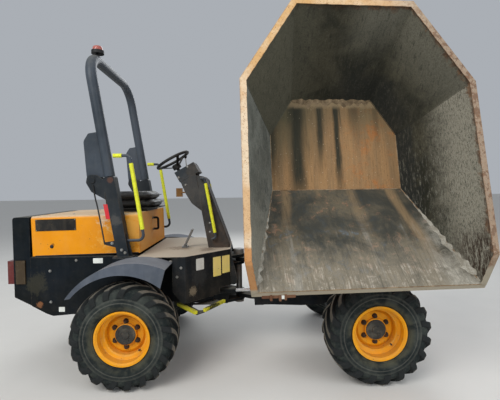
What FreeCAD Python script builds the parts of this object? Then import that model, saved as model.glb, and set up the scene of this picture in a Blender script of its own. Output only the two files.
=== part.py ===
import FreeCAD, Part
import math
import os
import Sketcher

# Articulated site dumper with a swivelling, tipping skip.
# Millimetres. +X is forward, +Y is the driver's left, +Z is up.
# The working origin is on the floor under the centre pivot, with the machine straight.
# Parts that move are made straight ahead with the skip down, then set to the rest pose.

V = FreeCAD.Vector

SIZES = (
    # wheels and axles
    ("rear_axle_x", -892.0),
    ("front_axle_x", 1096.0),
    ("wheel_radius", 415.0),
    ("tyre_width", 292.0),
    ("track_half", 760.0),
    ("rim_width", 247.0),
    ("rim_flange_radius", 215.0),
    ("bead_radius", 197.0),
    ("rim_wall", 7.0),
    ("disc_inset", 120.0),
    ("stud_circle_radius", 102.5),
    ("spindle_radius", 40.0),
    ("hub_radius", 86.0),
    ("running_gap", 0.05),
    ("axle_tube_radius", 58.0),
    ("diff_radius", 150.0),
    ("diff_half_width", 125.0),
    # rear chassis and engine bay
    ("side_half_width", 500.0),
    ("plate_thick", 12.0),
    ("chassis_top_z", 985.0),
    ("chassis_low_z", 490.0),
    ("tail_front_x", -1782.0),
    ("tail_rear_x", -1925.0),
    ("tail_top_z", 1334.0),
    ("bulkhead_x", -845.0),
    ("spine_half", 165.0),
    ("spine_low_z", 480.0),
    ("engine_front_x", -1062.0),
    ("engine_long", 540.0),
    ("engine_half_width", 235.0),
    ("engine_high", 560.0),
    ("engine_rail_z", 600.0),
    # driver's platform
    ("deck_top_z", 992.0),
    ("deck_half_width", 620.0),
    ("deck_corner_x", -438.0),
    ("deck_front_x", -75.0),
    ("deck_front_half", 250.0),
    ("deck_thick", 7.0),
    ("skirt_low_z", 600.0),
    ("taper_low_z", 655.0),
    # rear mudguards
    ("guard_outer_y", 905.0),
    ("guard_inner_y", 620.5),
    ("guard_thick", 7.0),
    ("guard_skirt_radius", 497.0),
    # bonnet
    ("bonnet_rear_x", -1768.0),
    ("bonnet_front_x", -851.0),
    ("bonnet_half_width", 496.0),
    ("bonnet_low_z", 998.0),
    ("bonnet_top_z", 1339.0),
    ("bonnet_sheet", 5.0),
    ("bonnet_hinge_x", -1756.0),
    ("bonnet_hinge_z", 1322.0),
    ("bonnet_pin_radius", 8.0),
    ("bonnet_ajar", 1.0),
    ("bonnet_open", 62.0),
    # seat
    ("seat_rear_x", -1205.0),
    ("seat_front_x", -762.0),
    ("seat_half_width", 238.0),
    ("seat_pan_z", 1372.0),
    ("cushion_top_z", 1452.0),
    ("squab_top_z", 1536.0),
    ("seat_pin_radius", 7.0),
    # roll bar
    ("roll_half", 555.0),
    ("roll_tube_radius", 44.5),
    ("roll_joint_x", -1066.0),
    ("roll_joint_z", 1667.0),
    ("roll_lean", 8.8),
    ("roll_rise", 1047.0),
    ("roll_bend", 215.0),
    ("roll_hinge_back", 133.0),
    ("roll_hinge_drop", 6.0),
    ("post_depth", 96.0),
    ("post_foot_z", 999.0),
    ("post_foot_x", -958.0),
    ("fold_pin_radius", 14.0),
    ("fold_ear_thick", 24.0),
    ("moving_gap", 5.0),
    # steering wheel and console
    ("steer_x", -640.0),
    ("steer_z", 1846.0),
    ("steer_tilt", 29.0),
    ("steer_ring_radius", 165.0),
    ("steer_grip_radius", 14.0),
    ("column_radius", 16.0),
    ("console_half", 160.0),
    # centre pivot
    ("pivot_pin_radius", 30.0),
    ("pivot_boss_radius", 68.0),
    ("tongue_high_z", 840.0),
    ("tongue_low_z", 485.0),
    ("tongue_thick", 35.0),
    ("pivot_gap", 6.0),
    ("clevis_thick", 25.0),
    ("steer_lock", 32.0),
    # steering ram
    ("ram_base_x", -360.0),
    ("ram_base_y", -235.0),
    ("ram_eye_x", 180.0),
    ("ram_eye_y", -225.0),
    ("ram_z", 600.0),
    ("ram_gland", 330.0),
    ("ram_rod_long", 349.0),
    ("ram_rod_radius", 16.0),
    ("ram_barrel_radius", 31.0),
    # front chassis and turntable
    ("turn_x", 840.0),
    ("front_half", 165.0),
    ("front_top_z", 672.0),
    ("ring_radius", 320.0),
    ("ring_top_z", 712.0),
    ("kingpin_radius", 70.0),
    ("table_low_z", 735.0),
    ("table_thick", 15.0),
    ("arm_y", 290.0),
    ("arm_thick", 24.0),
    ("swivel_rest", 86.2),
    # skip
    ("tip_hinge_x", 805.0),
    ("tip_hinge_z", 1132.0),
    ("tip_rest", 78.75),
    ("tip_pin_radius", 22.0),
    ("rim_z", 1583.0),
    ("floor_z", 899.0),
    ("rim_rear_x", -933.0),
    ("rim_rear_half", 448.0),
    ("rim_side_x", -311.0),
    ("rim_half", 844.0),
    ("rim_front_x", 940.0),
    ("lip_x", 1150.0),
    ("lip_z", 1472.0),
    ("floor_rear_x", -471.0),
    ("floor_side_x", -148.0),
    ("floor_fold_x", 351.0),
    ("floor_half", 575.0),
    ("skip_sheet", 6.0),
    ("band_thick", 26.0),
    ("band_deep", 70.0),
    # tipping ram
    ("tip_base_x", 580.0),
    ("tip_base_z", 845.0),
    ("tip_eye_x", -120.0),
    ("tip_eye_z", 838.0),
    ("tip_gland", 590.0),
    ("tip_rod_long", 622.0),
    ("tip_rod_radius", 25.0),
    ("tip_barrel_radius", 44.0),
    # fixing points
    ("tow_bore_radius", 14.0),
    ("tie_bore_radius", 20.0),
    # shift that puts the floor origin under the middle of the whole machine
    ("shift_x", 109.0),
    ("shift_y", 211.0),
)


class Size:
    """A length or an angle, kept as a number and as the formula that gives it."""

    def __init__(self, number, formula):
        self.number = float(number)
        self.formula = formula

    def _join(self, other, sign, swapped=False):
        other = sized(other)
        left, right = (other, self) if swapped else (self, other)
        number = {
            "+": left.number + right.number,
            "-": left.number - right.number,
            "*": left.number * right.number,
            "/": left.number / right.number if right.number else 0.0,
        }[sign]
        return Size(number, f"({left.formula} {sign} {right.formula})")

    def __add__(self, other):
        return self._join(other, "+")

    def __radd__(self, other):
        return self._join(other, "+", True)

    def __sub__(self, other):
        return self._join(other, "-")

    def __rsub__(self, other):
        return self._join(other, "-", True)

    def __mul__(self, other):
        return self._join(other, "*")

    def __rmul__(self, other):
        return self._join(other, "*", True)

    def __truediv__(self, other):
        return self._join(other, "/")

    def __neg__(self):
        return Size(-self.number, f"(0 - {self.formula})")

    def __float__(self):
        return self.number


def sized(value):
    """A Size from a Size or a plain number."""
    if isinstance(value, Size):
        return value
    return Size(value, f"({float(value):.6f})")


def named(value):
    return "Sizes." in value.formula


def sin(angle):
    return Size(math.sin(math.radians(angle.number)), f"sin({angle.formula})")


def cos(angle):
    return Size(math.cos(math.radians(angle.number)), f"cos({angle.formula})")


def tan(angle):
    return Size(math.tan(math.radians(angle.number)), f"tan({angle.formula})")


doc = FreeCAD.newDocument("SiteDumper")
sheet = doc.addObject("Spreadsheet::Sheet", "Sizes")
S = {}
for row, (alias, value) in enumerate(SIZES, start=1):
    sheet.set(f"A{row}", str(value))
    sheet.setAlias(f"A{row}", alias)
    S[alias] = Size(value, f"Sizes.{alias}")
doc.recompute()


def bind(thing, prop, value):
    """Give a property its formula."""
    thing.setExpression(prop, sized(value).formula)


def shift(thing, x, y, z, turn=None):
    """Stand a thing at x, y, z, with a fixed turn."""
    x, y, z = sized(x), sized(y), sized(z)
    thing.Placement = FreeCAD.Placement(V(x.number, y.number, z.number), turn or FreeCAD.Rotation())
    for axis, value in (("x", x), ("y", y), ("z", z)):
        if named(value):
            bind(thing, f"Placement.Base.{axis}", value)
    return thing


def box(name, x, y, z):
    """A block between three pairs of limits."""
    block = doc.addObject("Part::Box", name)
    for prop, (low, high) in (("Length", x), ("Width", y), ("Height", z)):
        bind(block, prop, sized(high) - low)
    return shift(block, x[0], y[0], z[0])


AXIS_TURN = {
    "X": FreeCAD.Rotation(V(0, 1, 0), 90),
    "Y": FreeCAD.Rotation(V(1, 0, 0), -90),
    "Z": FreeCAD.Rotation(),
}


def rod(name, axis, radius, low, high, u, v):
    """A round bar along one axis from low to high; u, v are its other two coordinates in order."""
    bar = doc.addObject("Part::Cylinder", name)
    bind(bar, "Radius", radius)
    bind(bar, "Height", sized(high) - low)
    at = {"X": (low, u, v), "Y": (u, low, v), "Z": (u, v, low)}[axis]
    return shift(bar, *at, turn=AXIS_TURN[axis])


PLANE_ROLE = {"XY": "XY_Plane", "XZ": "XZ_Plane", "YZ": "YZ_Plane"}


def sketch_on(body, name, plane, offset):
    """An empty sketch on one of the body's own planes."""
    sketch = body.newObject("Sketcher::SketchObject", name)
    base = [f for f in body.Origin.OriginFeatures if f.Role == PLANE_ROLE[plane]][0]
    sketch.AttachmentSupport = (base, [""])
    sketch.MapMode = "FlatFace"
    offset = sized(offset)
    sketch.AttachmentOffset = FreeCAD.Placement(V(0, 0, offset.number), FreeCAD.Rotation())
    bind(sketch, "AttachmentOffset.Base.z", offset)
    return sketch


def fix_value(sketch, kind, refs, value):
    """One dimension, tied to its formula."""
    value = sized(value)
    index = sketch.addConstraint(Sketcher.Constraint(kind, *refs, value.number))
    if named(value):
        sketch.setExpression(f"Constraints[{index}]", value.formula)


def fix_point(sketch, curve, end, u, v):
    fix_value(sketch, "DistanceX", (-1, 1, curve, end), u)
    fix_value(sketch, "DistanceY", (-1, 1, curve, end), v)


def draw(sketch, points, closed=True):
    """Straight runs through the points; a third entry rounds that corner by its radius."""
    corners = [tuple(sized(n) for n in p) for p in points]
    count = len(corners)
    at = [V(p[0].number, p[1].number, 0) for p in corners]
    marks, arcs = [], []
    for i, corner in enumerate(corners):
        if len(corner) < 3 or (not closed and i in (0, count - 1)):
            marks.append((at[i], corner[0], corner[1]))
            arcs.append(None)
            continue
        back = (at[i - 1] - at[i]).normalize()
        onward = (at[(i + 1) % count] - at[i]).normalize()
        half = math.acos(max(-1.0, min(1.0, back.dot(onward)))) / 2.0
        radius = corner[2].number
        reach = radius / math.tan(half)
        middle = at[i] + (back + onward).normalize() * (radius / math.sin(half))
        near = middle + (at[i] - middle).normalize() * radius
        for way in (back, onward):
            step = way * reach
            marks.append((at[i] + step, corner[0] + round(step.x, 9), corner[1] + round(step.y, 9)))
            arcs.append((near, corner[2]) if way is back else None)
    total = len(marks)
    curves = []
    for k in range(total if closed else total - 1):
        first, last = marks[k], marks[(k + 1) % total]
        if arcs[k]:
            curve = sketch.addGeometry(Part.Arc(first[0], arcs[k][0], last[0]), False)
            forward = sketch.getPoint(curve, 1).distanceToPoint(first[0]) < 1e-6
            curves.append((curve, 1, 2) if forward else (curve, 2, 1))
        else:
            curves.append((sketch.addGeometry(Part.LineSegment(first[0], last[0]), False), 1, 2))
    for k, (curve, first, last) in enumerate(curves):
        fix_point(sketch, curve, first, marks[k][1], marks[k][2])
        if k + 1 < len(curves) or closed:
            following = curves[(k + 1) % len(curves)]
            sketch.addConstraint(Sketcher.Constraint("Coincident", curve, last, following[0], following[1]))
        else:
            fix_point(sketch, curve, last, marks[k + 1][1], marks[k + 1][2])
        if arcs[k]:
            fix_value(sketch, "Radius", (curve,), arcs[k][1])


def prism(name, plane, outline, low, high):
    """A drawn outline given thickness between two limits across its plane."""
    body = doc.addObject("PartDesign::Body", name)
    low, high = sized(low), sized(high)
    sketch = sketch_on(body, name + "_outline", plane, -high if plane == "XZ" else low)
    draw(sketch, outline)
    pad = body.newObject("PartDesign::Pad", name + "_pad")
    pad.Profile = sketch
    bind(pad, "Length", high - low)
    return body


def tube(name, plane, offset, path, radius):
    """A round bar bent along a drawn path."""
    body = doc.addObject("PartDesign::Body", name)
    spine = sketch_on(body, name + "_path", plane, offset)
    draw(spine, path, closed=False)
    doc.recompute()
    ring = body.newObject("Sketcher::SketchObject", name + "_ring")
    ring.AttachmentSupport = (spine, ["Edge1"])
    ring.MapMode = "NormalToEdge"
    circle = ring.addGeometry(Part.Circle(V(0, 0, 0), V(0, 0, 1), sized(radius).number), False)
    ring.addConstraint(Sketcher.Constraint("Coincident", circle, 3, -1, 1))
    fix_value(ring, "Radius", (circle,), radius)
    pipe = body.newObject("PartDesign::AdditivePipe", name + "_pipe")
    pipe.Profile = ring
    pipe.Spine = (spine, [f"Edge{i + 1}" for i in range(len(spine.Shape.Edges))])
    return body


def turned(name, outline):
    """An outline in Y and Z spun about the Y axis."""
    body = doc.addObject("PartDesign::Body", name)
    sketch = sketch_on(body, name + "_outline", "YZ", 0)
    draw(sketch, outline)
    spin = body.newObject("PartDesign::Revolution", name + "_spin")
    spin.Profile = sketch
    spin.ReferenceAxis = (sketch, ["H_Axis"])
    spin.Angle = 360
    return body


def join(name, *things):
    fuse = doc.addObject("Part::MultiFuse", name)
    fuse.Shapes = list(things)
    return fuse


def less(name, base, *tools):
    """The base with the tools taken away."""
    tool = tools[0] if len(tools) == 1 else join(name + "_tools", *tools)
    cut = doc.addObject("Part::Cut", name)
    cut.Base = base
    cut.Tool = tool
    return cut


def common(name, first, second):
    both = doc.addObject("Part::MultiCommon", name)
    both.Shapes = [first, second]
    return both


def mirrored(name, source):
    """The same thing on the other side of the centre plane."""
    mirror = doc.addObject("Part::Mirroring", name)
    mirror.Source = source
    mirror.Normal = V(0, 1, 0)
    mirror.Base = V(0, 0, 0)
    return mirror


def pair(name, source):
    return join(name, source, mirrored(name + "_other", source))


NODES = {}
SIDES = (("right", -1), ("left", 1))


def node(name, thing, pose="rear"):
    """Name a finished piece and the group it moves with."""
    thing.Label = name
    NODES[name] = (thing, pose)


# Wheels, made about their own centre with the outer face towards +Y.

rim_half_width = S["rim_width"] / 2
tyre_half = S["tyre_width"] / 2
disc_y = rim_half_width - S["disc_inset"]
seat = S["bead_radius"]
flange = S["rim_flange_radius"]
well = seat - 32
wall = S["rim_wall"]
bead_y = rim_half_width - 14
tread = S["wheel_radius"]

tyre = turned("tyre_shape", [
    (-bead_y, seat), (-bead_y, flange + 3), (-(tyre_half - 18), flange + 9), (-tyre_half, flange + 52, 40),
    (-tyre_half, tread - 92, 60), (-(tyre_half - 34), tread - 9, 24), (-52, tread), (52, tread),
    (tyre_half - 34, tread - 9, 24), (tyre_half, tread - 92, 60), (tyre_half, flange + 52, 40),
    (tyre_half - 18, flange + 9), (bead_y, flange + 3), (bead_y, seat),
])

rim_shell = turned("rim_shell", [
    (-rim_half_width, flange), (-rim_half_width, flange - 12), (-bead_y - 4, seat - wall),
    (-58, seat - wall, 6), (-44, well - wall, 6), (34, well - wall, 6), (48, seat - wall, 6),
    (bead_y + 4, seat - wall), (rim_half_width, flange - 12), (rim_half_width, flange),
    (bead_y, flange), (bead_y, seat), (54, seat), (38, well, 6), (-48, well, 6), (-64, seat),
    (-bead_y, seat), (-bead_y, flange),
])
hub_face_y = disc_y + 26
rim_disc = turned("rim_disc", [
    (disc_y - 12, S["hub_radius"] - 8), (disc_y - 12, S["stud_circle_radius"] + 30, 8),
    (disc_y - 30, well - wall + 0.5), (disc_y - 18, well - wall + 0.5),
    (disc_y, S["stud_circle_radius"] + 32, 8), (disc_y, S["hub_radius"] - 8),
])
hub_drum = turned("hub_drum", [
    (disc_y - 62, S["spindle_radius"] + S["running_gap"]), (disc_y - 62, S["hub_radius"] + 4),
    (disc_y - 12, S["hub_radius"] + 34), (disc_y - 12, S["hub_radius"] + 2, 6),
    (disc_y, S["hub_radius"] + 2), (hub_face_y, S["hub_radius"], 8), (hub_face_y, 0),
    (disc_y + 8, 0), (disc_y + 8, S["spindle_radius"] + S["running_gap"]),
])
studs = []
for i in range(6):
    angle = math.radians(60 * i + 30)
    x, z = S["stud_circle_radius"] * math.cos(angle), S["stud_circle_radius"] * math.sin(angle)
    studs.append(rod(f"stud_{i}", "Y", 11, disc_y - 1, disc_y + 20, x, z))
rim = join("rim_shape", rim_shell, rim_disc, hub_drum, *studs)

WHEELS = (
    ("rear_right", "rear_axle_x", -1, "rear"),
    ("rear_left", "rear_axle_x", 1, "rear"),
    ("front_right", "front_axle_x", -1, "front"),
    ("front_left", "front_axle_x", 1, "front"),
)


# Axles, made about their own centre.

spindle_end = S["track_half"] + disc_y
axle_bar = rod("axle_bar", "Y", S["axle_tube_radius"], -(spindle_end - 190), spindle_end - 190, 0, 0)
spindle = rod("axle_spindle", "Y", S["spindle_radius"], -spindle_end, spindle_end, 0, 0)
diff = rod("axle_diff", "Y", S["diff_radius"], -S["diff_half_width"], S["diff_half_width"], 0, 0)
diff_nose = rod("axle_nose", "X", 78, 0, S["diff_radius"] + 70, 0, 0)
reducers = []
for side, sign in SIDES:
    inner, outer = spindle_end - 195, spindle_end - 68
    low, high = (inner, outer) if sign > 0 else (-outer, -inner)
    reducers.append(rod(f"axle_reducer_{side}", "Y", S["hub_radius"] + 12, low, high, 0, 0))
pad_top = S["spine_low_z"] - S["wheel_radius"]
pads = [
    box(f"axle_pad_{side}", (-70, 70), (sign * 150 - 22, sign * 150 + 22), (20, pad_top))
    for side, sign in SIDES
]
axle = join("axle_shape", axle_bar, spindle, diff, diff_nose, *reducers, *pads)


# Rear chassis: side plates, cross rails, bulkhead, spine and pivot clevises.

half, thick = S["side_half_width"], S["plate_thick"]
side_plate = prism("bay_side", "XZ", [
    (S["tail_front_x"], S["chassis_top_z"]), (S["tail_front_x"], 568), (-1653, 497), (-1600, 478),
    (-1440, S["chassis_low_z"]), (S["bulkhead_x"], S["chassis_low_z"]), (S["bulkhead_x"], S["chassis_top_z"]),
], half - thick, half)
chassis_parts = [pair("bay_sides", side_plate)]
chassis_parts.append(box("bulkhead", (S["bulkhead_x"] - thick, S["bulkhead_x"]), (-half, half),
                         (S["diff_radius"] + S["wheel_radius"] + 15, S["chassis_top_z"])))
engine_rear = S["engine_front_x"] - S["engine_long"]
for label, x in (("front", S["engine_front_x"] - 90), ("rear", engine_rear + 60)):
    chassis_parts.append(box(f"engine_rail_{label}", (x - 30, x + 30), (-half + thick, half - thick),
                             (S["engine_rail_z"] - 60, S["engine_rail_z"])))
chassis_parts.append(box("belly_plate", (-1620, -1110), (-half + thick, half - thick),
                         (S["chassis_low_z"], S["chassis_low_z"] + 8)))
spine_side = prism("spine_side", "XZ", [
    (-1010, S["spine_low_z"]), (-1010, 620), (S["bulkhead_x"] - thick, 720), (S["bulkhead_x"] - thick, 905),
    (-150, 905), (-95, 845), (-150, 720, 40), (-255, 680, 40), (-255, 553, 20), (-95, 553),
    (-110, S["tongue_low_z"] - 31),
    (-300, S["tongue_low_z"] - 31), (-560, S["spine_low_z"]),
], S["spine_half"] - 15, S["spine_half"])
chassis_parts.append(pair("spine_sides", spine_side))
boss = S["pivot_boss_radius"]
for label, base in (("high", S["tongue_high_z"]), ("low", S["tongue_low_z"])):
    for level, z in (
        ("upper", base + S["tongue_thick"] + S["pivot_gap"]),
        ("lower", base - S["pivot_gap"] - S["clevis_thick"]),
    ):
        plate = prism(f"clevis_{label}_{level}", "XY", [
            (-260, -S["spine_half"] + 15), (-110, -S["spine_half"] + 15), (20, -boss, 20), (boss, 0, boss - 8),
            (20, boss, 20), (-110, S["spine_half"] - 15), (-260, S["spine_half"] - 15),
        ], z, z + S["clevis_thick"])
        chassis_parts.append(plate)
cross_wall = box("spine_cross", (-272, -260), (-S["spine_half"] + 15, S["spine_half"] - 15),
                 (S["tongue_low_z"] - 31, 905))
chassis_parts.append(cross_wall)
for side, sign in SIDES:
    y = (half - 6, S["guard_inner_y"])
    chassis_parts.append(box(f"post_shelf_{side}", (-1040, -868), y if sign > 0 else (-y[1], -y[0]),
                             (905, S["post_foot_z"] - 12)))
ram_shelf_y = (S["ram_base_y"] - 32, -S["spine_half"] + 1)
base_gap = S["ram_barrel_radius"] + 3 + S["moving_gap"]
for label, z in (("low", (S["ram_z"] - base_gap - 13, S["ram_z"] - base_gap)),
                 ("high", (S["ram_z"] + base_gap, S["ram_z"] + base_gap + 13))):
    shelf_x = (S["ram_base_x"] - 34, S["ram_base_x"] + 34)
    chassis_parts.append(box(f"ram_shelf_{label}", shelf_x, ram_shelf_y, z))
ram_base_pin = rod("ram_base_pin", "Z", 15, S["ram_z"] - base_gap - 20, S["ram_z"] + base_gap + 20,
                   S["ram_base_x"], S["ram_base_y"])
chassis_parts.append(ram_base_pin)
rear_chassis = less(
    "rear_frame", join("rear_frame_solid", *chassis_parts),
    rod("pivot_bore", "Z", S["pivot_pin_radius"], 400, 960, 0, 0),
)
node("rear_chassis", rear_chassis)

node("engine", box("engine_block", (engine_rear, S["engine_front_x"]),
                   (-S["engine_half_width"], S["engine_half_width"]),
                   (S["engine_rail_z"], S["engine_rail_z"] + S["engine_high"])))

pin_top = S["tongue_high_z"] + S["tongue_thick"] + S["pivot_gap"] + S["clevis_thick"]
pin_low = S["tongue_low_z"] - S["pivot_gap"] - S["clevis_thick"]
node("pivot_pin", join(
    "pivot_pin_shape",
    rod("pivot_shank", "Z", S["pivot_pin_radius"], pin_low - 14, pin_top + 6, 0, 0),
    rod("pivot_cap", "Z", 52, pin_top, pin_top + 48, 0, 0),
    rod("pivot_nut", "Z", 46, pin_low - 28, pin_low, 0, 0),
))


# Tail housing with its grille and the tow jaw.

tail_x = (S["tail_rear_x"], S["tail_front_x"])
tail_solid = prism("tail_solid", "XZ", [
    (tail_x[0], S["tail_top_z"], 25), (tail_x[0], 646, 12), (tail_x[1], 572), (tail_x[1], S["tail_top_z"]),
], -half, half)
tail_hollow = prism("tail_hollow", "XZ", [
    (tail_x[0] + 14, S["tail_top_z"] - 14), (tail_x[0] + 14, 662), (tail_x[1] + 1, 590),
    (tail_x[1] + 1, S["tail_top_z"] - 14),
], -half + 14, half - 14)
slots = [
    box(f"grille_slot_{i}", (tail_x[0] - 5, tail_x[0] + 20), (-300, 300), (860 + 52 * i, 884 + 52 * i))
    for i in range(8)
]
hinge_cradle = prism("hinge_cradle", "XZ", [
    (tail_x[1] - 30, S["tail_top_z"] - 9), (tail_x[1] - 30, S["bonnet_hinge_z"] - 32),
    (S["bonnet_hinge_x"] + 12, S["bonnet_hinge_z"] - 32, 8), (S["bonnet_hinge_x"] + 14, S["bonnet_hinge_z"] + 14, 8),
    (tail_x[1] - 4, S["bonnet_hinge_z"] + 10),
], 240, 270)
tail_shell = less("tail_shell", tail_solid, tail_hollow, *slots)
node("tail_housing", less(
    "tail_shape", join("tail_with_hinges", tail_shell, pair("hinge_cradles", hinge_cradle)),
    rod("cradle_bore", "Y", S["bonnet_pin_radius"] + S["running_gap"], -310, 310, S["bonnet_hinge_x"],
        S["bonnet_hinge_z"]),
))

tow_x = S["tail_rear_x"] - 62
tow_plates = [
    prism(f"tow_plate_{label}", "XY", [
        (S["tail_rear_x"], -60), (tow_x - 26, -32, 24), (tow_x - 26, 32, 24), (S["tail_rear_x"], 60),
    ], z, z + 18)
    for label, z in (("low", 676), ("high", 746))
]
tow_back = box("tow_back", (S["tail_rear_x"] - 14, S["tail_rear_x"]), (-75, 75), (664, 776))
node("tow_jaw", less("tow_shape", join("tow_solid", tow_back, *tow_plates),
                     rod("tow_bore", "Z", S["tow_bore_radius"], 650, 800, tow_x, 0)))


# Driver's platform: deck, sloping side walls, and the steps hung below it.

deck_top, deck_low = S["deck_top_z"], S["deck_top_z"] - S["deck_thick"]
deck_outline = [
    (S["bulkhead_x"], -S["deck_half_width"]), (S["deck_corner_x"], -S["deck_half_width"], 18),
    (S["deck_front_x"], -S["deck_front_half"], 18), (S["deck_front_x"], S["deck_front_half"], 18),
    (S["deck_corner_x"], S["deck_half_width"], 18), (S["bulkhead_x"], S["deck_half_width"]),
]
deck = prism("deck", "XY", deck_outline, deck_low, deck_top)
wall_thick = 8
fore_wall_low = S["tongue_high_z"] + S["tongue_thick"] + S["pivot_gap"] + S["clevis_thick"] + 8
outer_walls = prism("skirt_solid", "XY", [
    (-546, -S["deck_half_width"]), (S["deck_corner_x"], -S["deck_half_width"], 18),
    (S["deck_front_x"], -S["deck_front_half"], 18), (S["deck_front_x"], S["deck_front_half"], 18),
    (S["deck_corner_x"], S["deck_half_width"], 18), (-546, S["deck_half_width"]),
], S["skirt_low_z"], deck_low)
inner_room = prism("skirt_room", "XY", [
    (-560, -S["deck_half_width"] + wall_thick),
    (S["deck_corner_x"] - 4, -S["deck_half_width"] + wall_thick),
    (S["deck_front_x"] - wall_thick, -S["deck_front_half"] + 4),
    (S["deck_front_x"] - wall_thick, S["deck_front_half"] - 4),
    (S["deck_corner_x"] - 4, S["deck_half_width"] - wall_thick),
    (-560, S["deck_half_width"] - wall_thick),
], S["skirt_low_z"] - 5, deck_low + 1)
under_cut = prism("skirt_under", "XZ", [
    (-600, 540), (0, 540), (0, S["taper_low_z"]), (-172, S["taper_low_z"]), (-172, S["skirt_low_z"] - 6),
    (-420, S["skirt_low_z"] + 1), (-470, S["skirt_low_z"] + 1), (-546, 700), (-600, 700),
], -900, 900)
clevis_half = S["spine_half"] + 25
clevis_room = box("skirt_clevis_room", (-300, 0), (-clevis_half, clevis_half), (540, fore_wall_low))
skirt = less("skirt", outer_walls, inner_room, under_cut, clevis_room)
cheek = prism("cheek_plate", "XZ", [
    (-100, deck_low - 10), (S["deck_front_x"], deck_low - 10), (-12, 704, 30), (-30, S["taper_low_z"], 20),
    (-100, S["taper_low_z"]),
], -S["deck_front_half"] + 4, -S["deck_front_half"] + 12)
ribs = [
    box(f"deck_rib_{label}", (x - 6, x + 6), (-S["deck_half_width"] + 60, S["deck_half_width"] - 60),
        (deck_low - 55, deck_low))
    for label, x in (("rear", -700), ("middle", -560))
]
node("platform", join("platform_shape", deck, skirt, pair("cheeks", cheek), *ribs))

step_z = 540
step_plate = prism("step_plate", "XY", [
    (-520, -430), (-540, -472), (-335, -733), (-287, -680), (-126, -421), (-200, -345), (-260, -345),
    (-330, -430),
], step_z, step_z + 6)
step_window = prism("step_window", "XY", [
    (-440, -470), (-330, -630), (-300, -630), (-200, -470),
], step_z - 5, step_z + 12)
step_hangers = [
    box(f"step_hanger_{i}", (x - 5, x + 5), (y, y + 60), (step_z, z))
    for i, (x, y, z) in enumerate(((-407, -565, deck_low), (-235, -393, deck_low)))
]
step_side = join("step_right", less("step_tread", step_plate, step_window), *step_hangers)
node("steps", pair("steps_shape", step_side))


def edge_bar(name, start, end, z):
    """A flat bar on edge along one slope of the step."""
    (x0, y0), (x1, y1) = start, end
    length = math.hypot(x1 - x0, y1 - y0)
    bar = doc.addObject("Part::Box", name)
    bar.Length = length
    bar.Width = 26
    bar.Height = 26
    bar.Placement = FreeCAD.Placement(
        V(x0, y0, z), FreeCAD.Rotation(V(0, 0, 1), math.degrees(math.atan2(y1 - y0, x1 - x0))))
    return bar


edge_rear = edge_bar("edge_rear", (-331, -720), (-515, -486), step_z + 6)
edge_front = edge_bar("edge_front", (-141, -423), (-291, -664), step_z + 6)
node("step_edges", pair("step_edges_shape", join("step_edges_right", edge_rear, edge_front)))


# Rear mudguards.

guard_bow = Part.Arc(V(-1307, 0, 735), V(-950, 0, 982), V(-546, 0, 948))
reach = S["guard_skirt_radius"].number
hub_x, hub_z = S["rear_axle_x"].number, S["wheel_radius"].number


def on_skirt(degrees):
    angle = math.radians(degrees)
    return V(hub_x + reach * math.cos(angle), 0, hub_z + reach * math.sin(angle))


skirt_line = Part.Arc(on_skirt(52), on_skirt(95), on_skirt(139))
guard_wire = Part.Wire([
    guard_bow.toShape(),
    Part.makeLine(V(-546, 0, 948), on_skirt(52)),
    skirt_line.toShape(),
    Part.makeLine(on_skirt(139), V(-1307, 0, 735)),
])
guard_face = Part.Face(guard_wire)
outer_y, inner_y = S["guard_outer_y"].number, S["guard_inner_y"].number
sheet_gap = S["guard_thick"].number
under_wire = guard_wire.copy()
under_wire.translate(V(0, 0, -sheet_gap))
guard_block = guard_face.extrude(V(0, -(outer_y - inner_y), 0))
guard_block.translate(V(0, -inner_y, 0))
guard_under = Part.Face(under_wire).extrude(V(0, -(outer_y - inner_y - sheet_gap) - 50, 0))
guard_under.translate(V(0, -inner_y + 50, 0))
low_bow = guard_under.fuse(Part.makeBox(900, outer_y - inner_y - sheet_gap + 50, 300,
                                        V(-1400, -outer_y + sheet_gap, 500)))
guard_shape = guard_block.cut(low_bow.removeSplitter())
guard_right = doc.addObject("Part::Feature", "guard_right")
guard_right.Shape = guard_shape.removeSplitter()
node("rear_mudguards", pair("mudguards_shape", guard_right))


# Roll bar. Lower posts stand on the chassis; the hoop is made upright about its joint.

lean = S["roll_lean"]
post_half = S["post_depth"] / 2
top_x, top_z = S["roll_joint_x"], S["roll_joint_z"]
foot_x = S["post_foot_x"]
hinge_x = top_x - S["roll_hinge_back"] * cos(lean) + S["roll_hinge_drop"] * sin(lean)
hinge_z = top_z - S["roll_hinge_back"] * sin(lean) - S["roll_hinge_drop"] * cos(lean)
tube_r = S["roll_tube_radius"]
post_low = S["roll_half"] - tube_r
post_high = S["roll_half"] + tube_r
post = prism("post", "XZ", [
    (foot_x - post_half, S["post_foot_z"]), (foot_x + post_half, S["post_foot_z"]),
    (top_x + post_half * cos(lean), top_z + post_half * sin(lean), 14),
    (top_x - post_half * cos(lean), top_z - post_half * sin(lean), 14),
], -post_high, -post_low)


def post_rear(height):
    """How far back the post's rear face is at a height."""
    rise = (height - S["post_foot_z"]) / (top_z - post_half * sin(lean) - S["post_foot_z"])
    return foot_x - post_half - rise * (foot_x - post_half - top_x + post_half * cos(lean))


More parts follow.
